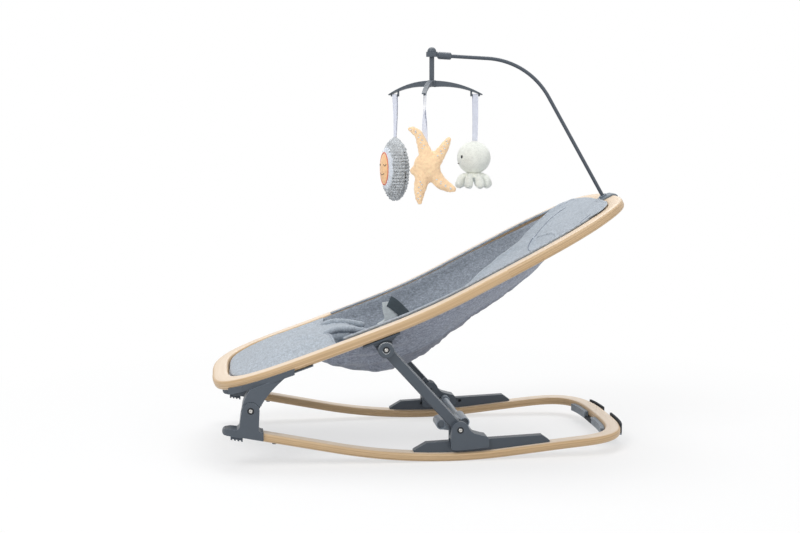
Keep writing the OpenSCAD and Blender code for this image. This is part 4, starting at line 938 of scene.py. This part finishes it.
def build_pad():
    """The back pad, which rises out of the seat to a head cushion that fills the head of the hoop."""
    def half(x):
        return smooth_interp(x, [30, 60, 89, 137, 182, 228, 274, 319, 340, 356, 366],
                             [22, 42, 52, 62, 82, 102, 121, 131, 118, 88, 40], 5)

    def crest(x):
        return smooth_interp(x, [30, 60, 89, 137, 182, 228, 274, 319, 361, 368],
                             [234, 262, 287, 324, 353, 378, 404, 432, 452, 453], 8)

    vs = np.linspace(-1, 1, 71)
    rings = []
    for x in np.concatenate([np.linspace(34, 340, 70), np.linspace(343, 366, 14)]):
        h = float(half(x))
        y = vs * (h + 14)
        base = sling_high(np.full(71, x), y) + 1.2
        sag = (3 + 7 * (1 - float(step(x, 250, 320)))) * (1 - np.minimum(1, np.abs(y) / h) ** 2)
        front = math.sqrt(max(0.02, 1 - (1 - min(1, (x - 32) / 40)) ** 2))
        back = math.sqrt(max(0.03, 1 - (1 - min(1, (368 - x) / 12)) ** 2))
        z = base + (np.maximum(float(crest(x)) - sag, base + 4) - base) * (front * back)
        body = base + (z - base) * 0.45
        e = np.sqrt(np.maximum(0, 1 - np.clip((np.abs(y) - h + 6) / 20, 0, 1) ** 2))
        rings.append(section(x, y, body + (z - body) * e, body + (base - body) * e))
    ob = cushion("back_pad", rings, "pad")
    puff(ob, 2.0, 2.5, 14, 4)

    def head(p):
        x, y, z = p.T
        r = np.sqrt(((x - CUSHION_X) / CUSHION_A) ** 2 + (y / CUSHION_B) ** 2)
        up = (1 - step(r, 0.84, 1.02)) * 4.2 - 3.0 * bell(r - 1.0, 0.024)
        upper = z > sling_high(x, y) + 8
        return np.where(upper, up * step(x, 210, 235), 0) + 0.6 * wob(p, 52, 41) + 0.25 * wob(p, 19, 43)

    push(ob, head)
    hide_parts("head_pillow")
    return ob


pad = build_pad()


# ---------------------------------------------------------------- harness

BUCKLE_LO, BUCKLE_HI = mm_box("buckle_housing")
STRAP_W, STRAP_T = 22.0, 2.0


def seat_top(x, y):
    return float(sling_high(np.array([x]), np.array([y]))[0])


def build_harness():
    """Waist straps out of the buckle, up to a fold on edge and down to the seat, and the crotch strap."""
    bx, _, bz = (BUCKLE_LO + BUCKLE_HI) / 2
    rise = [(0, 21.5, 1), (11, 24, 12), (15, 26, 24), (15, 27, 38), (12, 28, 52), (10.6, 28.5, 62)]
    fall = [(10.8, 29.5, 63), (17, 31, 60), (28, 33, 51), (40, 37, 39), (54, 45, 25), (68, 58, 14)]
    for s, side in SIDES:
        # the right strap leans back and stands lower
        dx, dz, k = (0, 0, 1.0) if s < 0 else (7, -9, 0.86)

        def place(points):
            return [(bx + x + dx * min(1, z / 30), s * y, bz + z * k + dz * min(1, z / 40))
                    for x, y, z in points]

        acr = [(1, 0, 0.1), (0.97, 0, 0.2), (0.95, 0, 0.3), (0.92, 0, 0.38), (0.84, 0, 0.5),
               (0.78, 0.04 * s, 0.62)]
        ob = strap("waist_webbing_" + side, place(rise), acr, 26, STRAP_T, MATS["webbing"], "seat")
        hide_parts("waist_strap_" + side)
        # from the fold down to the seat the strap wears the webbing in painted shade
        pts = place(fall) + [(x, s * y, seat_top(x, s * y) + 3.0) for x, y in ((14, 82), (24, 102))]
        acr = [(0.74, 0.05 * s, 0.66), (0.6, 0.12 * s, 0.78), (0.5, 0.2 * s, 0.8), (0.5, 0.3 * s, 0.75),
               (0.62, 0.34 * s, 0.6), (0.8, 0.25 * s, 0.45), (0.95, -0.1 * s, 0.3), (1, -0.2 * s, 0.3)]
        ob = strap("waist_layer_" + side, pts, acr, STRAP_W, STRAP_T, MATS["webbing_painted_shade"], "seat")
    x = BUCKLE_LO[0]
    pts = [(-100, 0, seat_top(-100, 0) + 6), (-92, 0, seat_top(-92, 0) + 8),
           (x - 5, 0, bz - 5), (x - 1.2, 0, bz - 1)]
    ob = strap("crotch_webbing", pts, [(0, 1, 0)] * 4, STRAP_W, STRAP_T, MATS["webbing"], "seat")
    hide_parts("crotch_strap")


build_harness()


# ---------------------------------------------------------------- toys


def ellipsoid(name, centre, half, mat, body, rings=48, segs=72):
    verts = [np.array(centre) + (0, 0, half[2])]
    for i in range(1, rings):
        for j in range(segs):
            verts.append(np.array(centre) + on_ball(math.pi * i / rings, 2 * math.pi * j / segs) * half)
    verts.append(np.array(centre) - (0, 0, half[2]))
    faces = [(0, 1 + j, 1 + (j + 1) % segs) for j in range(segs)]
    for i in range(rings - 2):
        for j in range(segs):
            a, b = 1 + i * segs + j, 1 + i * segs + (j + 1) % segs
            faces.append((a, a + segs, b + segs, b))
    k = 1 + (rings - 2) * segs
    last = len(verts) - 1
    faces += [(last, k + (j + 1) % segs, k + j) for j in range(segs)]
    return put_mesh(name, verts, faces, mat, body)


def box_of(node):
    """Middle and half size of a CAD node's box, in mm."""
    lo, hi = mm_box(node)
    return (lo + hi) / 2, (hi - lo) / 2


def blob(name, chains, voxel, mat, body, flat=None):
    """A stuffed form: balls strung along lines and fused into one skin."""
    verts, faces = [], []
    rings, segs = 10, 16
    for points, radii in chains:
        line = spline(np.asarray(points, float), 6)
        r = spline(np.column_stack([radii, radii, radii]), 6)[:, 0]
        for c, k in zip(line, r):
            o = len(verts)
            for i in range(rings + 1):
                for j in range(segs):
                    v = on_ball(math.pi * i / rings, 2 * math.pi * j / segs) * k
                    verts.append(c + (flat(v) if flat else v))
            faces += [tuple(o + q for q in f) for f in grid_faces(rings + 1, segs)]
    ob = put_mesh(name, verts, faces, mat, body)
    puff(ob, 1.0, 1.5, 8, 10, voxel)
    return ob


def pile(name, centre, axes, half, skip, length, mat, body, seed):
    """Tufts of long pile in rows over an ellipsoid, combed outwards and down."""
    rng = np.random.RandomState(seed)
    a, b = axes
    verts, faces = [], []
    for row in range(27):
        t = math.radians(7 + 166 * row / 26)
        count = max(5, int(2 * math.pi * half[1] * math.sin(t) / 3.6))
        for k in range(count):
            w = 2 * math.pi * (k + 0.5 * (row % 2) + 0.3 * rng.uniform(-1, 1)) / count
            u = on_ball(t, w)
            if skip(u):
                continue
            base = centre + a * u[0] * half[0] + b * u[1] * half[1] + np.array([0, 0, u[2] * half[2]])
            n = unit(a * u[0] / half[0] + b * u[1] / half[1] + np.array([0, 0, u[2] / half[2]]))
            d = unit(n * 0.42 + np.array([0, 0, -0.9]) + rng.uniform(-0.24, 0.24, 3))
            s = unit(np.cross(n, d))
            k0 = len(verts)
            size = length * rng.uniform(0.75, 1.15)
            root = base - n * 1.2
            for share, wide in ((0, 2.9), (0.45, 2.7), (0.85, 1.5)):
                m = root + d * size * share + n * size * 0.22 * share
                for q in range(5):
                    g = 2 * math.pi * q / 5
                    verts.append(m + wide * (s * math.cos(g) + np.cross(d, s) * math.sin(g)))
            verts.append(root + d * size + n * size * 0.1)
            faces += [tuple(k0 + q for q in f) for f in grid_faces(3, 5)]
            faces += [(k0 + 10 + q, k0 + 10 + (q + 1) % 5, k0 + 15) for q in range(5)]
            faces.append(tuple(k0 + 4 - q for q in range(5)))
    return put_mesh(name, verts, faces, mat, body)


def build_oval():
    """Oval plush with long grey pile, a pale ring and a smooth orange panel on its front."""
    c, h = box_of("oval_plush")
    c = c + (0, 0, 1.5)
    out = heading(math.radians(-161))
    side = np.cross(UP, out)
    thick, wide, tall = 24.0, 34.0, h[2] - 1.0
    # where the seam runs round the body, in radians from the middle of the face
    seam_turn = 1.9

    def at(u, v, extra):
        """Point on the face, u to its side and v up, and extra mm above the body."""
        q = max(0.0, 1 - (u / wide) ** 2 - (v / tall) ** 2)
        return c + side * u + np.array([0, 0, v]) + out * (thick * math.sqrt(q) + extra)

    body = ellipsoid("oval_toy", (0, 0, 0), np.array([thick, wide, tall]), MATS["grey"], "toy_left", 80, 120)
    d = coords_of(body)
    turn = np.abs(np.arctan2(d[:, 1], d[:, 0]))
    squeeze = 1 - 0.1 * bell(turn - seam_turn, 0.13) - 0.1 * step(np.abs(d[:, 2]), 34, 62)
    d[:, :2] *= squeeze[:, None]
    set_coords(body, c + np.outer(d[:, 0], out) + np.outer(d[:, 1], side) + np.outer(d[:, 2], (0, 0, 1)))
    push(body, lambda p: 0.6 * wob(p, 9, 5))
    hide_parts("oval_plush")

    def bare(u):
        on_face = u[0] > 0 and (u[1] / 0.72) ** 2 + (u[2] / 0.66) ** 2 < 1
        return on_face or abs(abs(math.atan2(u[1], u[0])) - seam_turn) < 0.1

    half = (thick - 0.5, wide - 0.5, tall - 3.0)
    fluff = pile("oval_fur", c, (out, side), half, bare, 6.2, MATS["grey"], "toy_left", 12)

    def panel(name, ry, rz, extra, mat):
        rings, segs = 24, 96
        turns = [2 * math.pi * j / segs for j in range(segs)]
        verts = []
        for q in [i / rings for i in range(rings + 1)]:
            lift_by = extra + 3.0 * math.sqrt(max(0, 1 - q ** 5))
            verts += [at(ry * q * math.cos(w), rz * q * math.sin(w), lift_by) for w in turns]
        verts += [at(ry * 0.98 * math.cos(w), rz * 0.98 * math.sin(w), -2.5) for w in turns]
        faces = grid_faces(rings + 2, segs) + [tuple(range(segs))[::-1]]
        return put_mesh(name, verts, faces, mat, "toy_left")

    ring = panel("oval_ring", wide * 0.76, tall * 0.69, 0.6, MATS["pale"])
    push(ring, lambda p: 0.5 * wob(p, 7, 6))
    face = panel("oval_toy_face", wide * 0.52, tall * 0.51, 2.2, MATS["face"])
    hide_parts("oval_face")
    turns = np.linspace(0, 2 * math.pi, 73)[:-1]
    line = [at(wide * 0.525 * math.cos(w), tall * 0.515 * math.sin(w), 3.6) for w in turns]
    tube("oval_outline", line, 1.0, MATS["outline"], "toy_left", 8, True)
    # two closed eyes and a small smile, stitched
    for s, name in SIDES:
        line = [at(s * (6.5 + 7.5 * u), 9 - 3.2 * math.sin(math.pi * u), 5.0) for u in np.linspace(0, 1, 9)]
        tube("oval_eye_" + name, line, 0.75, MATS["mouth"], "toy_left", 6)
    line = [at(7 * math.cos(w), -8 + 4 * math.sin(w), 5.0) for w in np.linspace(math.pi, 2 * math.pi, 12)]
    tube("oval_smile", line, 0.7, MATS["mouth"], "toy_left", 6)


build_oval()

# Arms of the starfish in its own plane: places (right, up, towards the front), radii
STAR_ARMS = [
    ([(-4, 22, 0), (-12, 46, 0), (-18, 61, -1), (-27, 68, -3), (-34, 71, -4)], [14, 10, 8.6, 7.6, 5.2]),
    ([(12, 10, 0), (24, 27, 0), (33, 42, 1), (39, 53, 2)], [14, 11, 8.4, 5.0]),
    ([(10, -12, 0), (24, -29, 0), (37, -37, 2), (48, -42, 4)], [15, 12.5, 10, 6.4]),
    ([(-8, -14, 0), (-14, -34, 0), (-16.5, -51, 1), (-15.5, -67, 3)], [16, 13, 10, 5.4]),
    ([(-12, -2, 0), (-26, -8, -4)], [15, 9]),
    ([(-8, 6, 0), (2, 2, 0), (4, -8, 0)], [19, 20, 18]),
]


def build_star():
    """Stuffed starfish: arms of round section that taper to blunt tips, one curled over at the top."""
    rlo, rhi = mm_box("ribbon_middle")
    mid = np.array([(rlo[0] + rhi[0]) / 2 + 6, (rlo[1] + rhi[1]) / 2 - 2, rlo[2] - 44.4])
    turn = math.radians(-10)
    right, up, out = heading(turn), UP, np.array([math.sin(turn), -math.cos(turn), 0])

    def world(p):
        return mid + right * p[0] + up * p[1] + out * p[2]

    chains = [([world(p) for p in pts], rad) for pts, rad in STAR_ARMS]

    def flat(v):
        return v - out * (v @ out) * 0.16

    ob = blob("starfish_toy", chains, 2.4, MATS["orange"], "toy_middle", flat)
    push(ob, lambda p: 0.55 * wob(p, 8, 8) + 0.5 * wob(p, 24, 4))
    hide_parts("starfish_plush")
    # short pale stitches in a staggered row along each arm
    stitch = np.array([1.7, 1.1, 1.1])
    verts = coords_of(ob)
    k = 0
    for pts, _ in STAR_ARMS[:4]:
        line = spline(np.array(pts, float), 5)
        lens = np.concatenate([[0], np.cumsum(np.linalg.norm(np.diff(line, axis=0), axis=1))])
        for i, at_len in enumerate(np.arange(14, lens[-1] - 3, 5.4)):
            p = np.array([np.interp(at_len, lens, line[:, q]) for q in range(3)])
            p[0] += 2.2 * (1 if i % 2 else -1)
            q = world(p)
            aside = (verts - q) - np.outer((verts - q) @ out, out)
            near = np.linalg.norm(aside, axis=1) < 2.6
            if not near.any():
                continue
            top = q + out * (((verts[near] - q) @ out).max() + 0.1)
            dot = ellipsoid("star_stitch_%02d" % k, top, stitch, MATS["pale"], "toy_middle", 8, 12)
            k += 1


build_star()


def build_octopus():
    """Round plush head with two bead eyes and a smile, over eight short legs."""
    c, h = box_of("octopus_head")
    head = ellipsoid("octopus_toy_head", c, h * (1.0, 1.0, 0.965), MATS["white"], "toy_right", 60, 96)
    rng = np.random.RandomState(9)
    push(head, lambda p: 0.9 * (0.5 * np.maximum(wob(p, 6, 9, 9), -0.4) + 0.28 * rng.uniform(-1, 1, len(p))))
    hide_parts("octopus_head")
    o = np.array([c[0], c[1], mm_box("octopus_legs")[0][2]])
    chains = [([o + (0, 0, 29), o + (0, 0, 21)], [13, 9])]
    for k in range(8):
        d = heading(math.radians(45 * k - 31))
        foot = o + d * (27.5 + 3 * (k % 2)) + (0, 0, 9.8)
        chains.append(([o + d * 8 + (0, 0, 26), o + d * 20 + (0, 0, 24), o + d * 27 + (0, 0, 18), foot],
                       [6.0, 6.6, 8.2, 9.3]))
    legs = blob("octopus_toy_legs", chains, 1.6, MATS["white"], "toy_right")
    push(legs, lambda p: 0.45 * wob(p, 7, 20))
    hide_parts("octopus_legs")
    for s, side in SIDES:
        n = on_ball(math.radians(90 - 4), math.radians(180 + s * 34))
        at = c + n * h[0] * 0.985
        bead = np.array([2.2, 2.8, 3.6])
        eye = ellipsoid("octopus_eye_" + side, at, bead, MATS["eye"], "toy_right", 16, 24)
    line = []
    for t in np.linspace(-0.2, 0.2, 9):
        n = np.array([-math.cos(t) * 0.95, math.sin(t) * 0.95, -0.3 - 0.05 * math.cos(4 * t)])
        line.append(c + h[0] * 0.99 * n)
    tube("octopus_smile", line, 0.8, MATS["mouth"], "toy_right", 6)


build_octopus()


def build_ribbon(name, body, turn_top, turn_low, lean, wide, narrow):
    """A thin band folded over its bar, both layers falling to the toy with a soft twist."""
    c, h = box_of(name)
    top = np.array([c[0], c[1], c[2] + h[2] - 2.5])
    length = 2 * h[2]
    for layer in (0, 1):
        pts, acr, wid = [], [], []
        for u in np.linspace(0, 1, 40):
            flat = heading(math.radians(turn_top + (turn_low - turn_top) * step(u, 0.1, 0.9)))
            off = (1.9 - 1.2 * u) * (1 if layer else -1)
            p = top - UP * u * (length - 2.4) + np.cross(UP, flat) * off
            p[:2] += np.array(lean) * math.sin(math.pi * u)
            pts.append(p)
            acr.append(flat)
            wid.append(wide + (narrow - wide) * u)
        if layer == 0:
            nrm = np.cross(UP, heading(math.radians(turn_top)))
            turns = np.linspace(0, math.pi, 9)[:-1]
            pts = [top + nrm * 1.95 * math.cos(w) + UP * 1.95 * math.sin(w) for w in turns] + pts
            acr = [acr[0]] * len(turns) + acr
            wid = [wide] * len(turns) + wid
        ob = strap(name + "_band_" + "ab"[layer], pts, acr, wid, 0.5, MATS["ribbon"], body, per=2)
        if layer == 0:
            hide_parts(name)


build_ribbon("ribbon_left", "toy_left", 133.5, 128, (1.0, 0), 11.5, 7.0)
build_ribbon("ribbon_middle", "toy_middle", 253.5, 340, (-0.6, 0.3), 9.0, 10.5)
build_ribbon("ribbon_right", "toy_right", 13.5, 8, (0.5, 0), 11.5, 10.5)


# ---------------------------------------------------------------- finishes of the CAD pieces

FINISH = {
    "strut": "strut_left strut_right",
    "slate": "foot_bracket_left foot_bracket_right seat_arm_left seat_arm_right slider_left "
    "slider_right arch_sleeve arch_hub mobile_post mobile_arms",
    "dark": "strut_bracket_left strut_bracket_right rail_screws buckle_housing buckle_tongue",
    "track": "track_left track_right",
    "pads": "foot_pad_left foot_pad_right",
    "rubber": "rear_bumper_left rear_bumper_right rear_clip_link",
    "clip": "rear_clip_left rear_clip_right arch_clip buckle_button",
    "black": "front_hinge_pins slider_pin_left slider_pin_right strut_top_pins",
    "bar": "cross_bar",
    "grip": "lock_grip lock_knob",
    "rod": "arch_rod",
}
for key, names in FINISH.items():
    for node in names.split():
        NODES[node].data.materials.clear()
        NODES[node].data.materials.append(MATS[key])
for ob in NODES.values():
    if not ob.data.materials or ob.data.materials[0] is None:
        ob.data.materials.clear()
        ob.data.materials.append(MATS["slate"])


# ---------------------------------------------------------------- bolts, seams and edges

BODY = {n: b for b, ns in frame["record"]["behaviour"]["bodies"].items() for n in ns}


def lathe(name, at, axis, profile, mat, body, segs=28):
    """Turned form: profile of (radius, height) along an axis from a point."""
    w = np.asarray(axis, float)
    u = unit(np.cross(w, [0.3, 0.2, 0.9]))
    v = np.cross(w, u)
    verts = []
    for r, h in profile:
        for k in range(segs):
            g = 2 * math.pi * k / segs
            verts.append(np.asarray(at) + w * h + (u * math.cos(g) + v * math.sin(g)) * r)
    return put_mesh(name, verts, capped(len(profile), segs), mat, body)


# Outline of a bolt's head: a dark ring round a recess, and the steel cap in it
RING = [(5.9, -0.6), (5.9, 0.3), (5.2, 0.35), (4.7, -0.4), (3.7, -0.4), (0.2, -0.3)]
CAP = [(3.7, -0.4), (3.6, 0.5), (3.1, 1.2), (2.0, 1.6), (1.7, 1.6), (1.5, 0.3), (0.2, 0.2)]
for node in ("front_hinge_pins", "strut_top_pins", "slider_pin_left", "slider_pin_right"):
    lo, hi = mm_box(node)
    for s, side in SIDES:
        if node.endswith(("left", "right")) and not node.endswith(side):
            continue
        at = ((lo[0] + hi[0]) / 2, lo[1] if s < 0 else hi[1], (lo[2] + hi[2]) / 2)
        name = node.split("_pin")[0] + "_bolt_" + side
        ring = lathe(name + "_ring", at, (0, s, 0), RING, MATS["black"], BODY[node])
        lathe(name, at, (0, s, 0), CAP, MATS["steel"], BODY[node])


# The piping of the head cushion, laid on the back pad
line = []
for w in np.radians(np.linspace(74, 286, 90)):
    x, y = CUSHION_X + CUSHION_A * math.cos(w), CUSHION_B * math.sin(w)
    z = over(pad, x, y)
    if z is not None:
        line.append((x, y, z - 0.3))
line = np.array(line)
line[1:-1, 2] = (line[:-2, 2] + line[1:-1, 2] + line[2:, 2]) / 3
tube("cushion_piping", line, 1.0, MATS["thread"], "seat", 7)

# The light rolled edge of the fabric along the near and far sides
for s, side in SIDES:
    plan = hoop_plan(-(WOOD_W / 2 + 5.2), straight=90)
    plan = plan[(plan[:, 1] * s > 60) & (plan[:, 0] > -160) & (plan[:, 0] < 330)]
    plan = plan[np.argsort(plan[:, 0])]
    line = np.column_stack([plan, hoop_z(plan[:, 0]) + 11.2])
    tube("edge_roll_" + side, line, 2.5, MATS["liner"], "seat", 12)


# ---------------------------------------------------------------- camera, light and floor

cam = bpy.data.cameras.new("camera")
cam.sensor_width = 36
cam.lens = 60.75
cam.clip_start, cam.clip_end = 0.05, 60
camera = bpy.data.objects.new("camera", cam)
camera.location = CAMERA_AT
level = math.cos(CAMERA_DIP)
forward = Vector((math.sin(CAMERA_TURN) * level, math.cos(CAMERA_TURN) * level, -math.sin(CAMERA_DIP)))
camera.rotation_euler = forward.to_track_quat("-Z", "Y").to_euler()
bpy.context.scene.collection.objects.link(camera)
bpy.context.scene.camera = camera

WHITE = (1, 1, 1, 1)
FLOOR_HALF, FLOOR_Z = 9.0, -0.0006
# Distances from the origin, in metres, between which the floor fades to plain white
FADE_FROM, FADE_TO = 0.42, 1.15
floor_me = bpy.data.meshes.new("floor")
corners = ((-1, -1), (1, -1), (1, 1), (-1, 1))
floor_me.from_pydata([(x * FLOOR_HALF, y * FLOOR_HALF, FLOOR_Z) for x, y in corners], [], [(0, 1, 2, 3)])
floor = bpy.data.objects.new("floor", floor_me)
bpy.context.scene.collection.objects.link(floor)
paper = Mat("floor_paper", rough=0.75, spec=0.2)
paper.colour((0.86, 0.865, 0.875, 1))
floor_me.materials.append(paper.m)


def surface_of(nodes, kind):
    return next(n for n in nodes.t.nodes if n.type == kind).inputs["Surface"]


def whiten(mat, share):
    """Rays from the camera see a share of plain white near the object and only white further out."""
    glow = mat.add("Emission", {"Color": WHITE, "Strength": 1.0}).outputs[0]
    at = mat.add("NewGeometry").outputs["Position"]
    far = mat.add("VectorMath", {0: at}, operation="LENGTH").outputs["Value"]
    inputs = {"Value": far, "From Min": FADE_FROM, "From Max": FADE_TO, "To Min": share, "To Max": 1.0}
    white = mat.times(mat.seen(), mat.add("MapRange", inputs).outputs["Result"])
    mat.put(mat.blend(white, mat.b.outputs[0], glow), surface_of(mat, "OUTPUT_MATERIAL"))


whiten(paper, 0.62)

world = bpy.data.worlds.new("studio")
bpy.context.scene.world = world
world.use_nodes = True
sky = Nodes(world.node_tree)
light = next(n for n in sky.t.nodes if n.type == "BACKGROUND")
light.inputs["Color"].default_value = WHITE
light.inputs["Strength"].default_value = 0.5
backdrop = sky.add("Background", {"Color": WHITE, "Strength": 1.0}).outputs[0]
sky.put(sky.blend(sky.seen(), light.outputs[0], backdrop), surface_of(sky, "OUTPUT_WORLD"))


def lamp(name, at, to, size, power):
    li = bpy.data.lights.new(name, "AREA")
    li.shape = "RECTANGLE"
    li.size, li.size_y = size
    li.energy = power
    ob = bpy.data.objects.new(name, li)
    ob.location = at
    ob.rotation_euler = (Vector(to) - Vector(at)).to_track_quat("-Z", "Y").to_euler()
    bpy.context.scene.collection.objects.link(ob)


lamp("key", (-1.5, -1.7, 2.6), (0, 0, 0.25), (1.4, 1.4), 40)
lamp("fill", (1.9, -1.9, 1.7), (0, 0, 0.3), (2.2, 1.8), 14)
lamp("top", (0.2, 0.9, 2.7), (0, 0, 0.25), (2.0, 1.4), 34)

bpy.context.scene.view_settings.view_transform = "Standard"
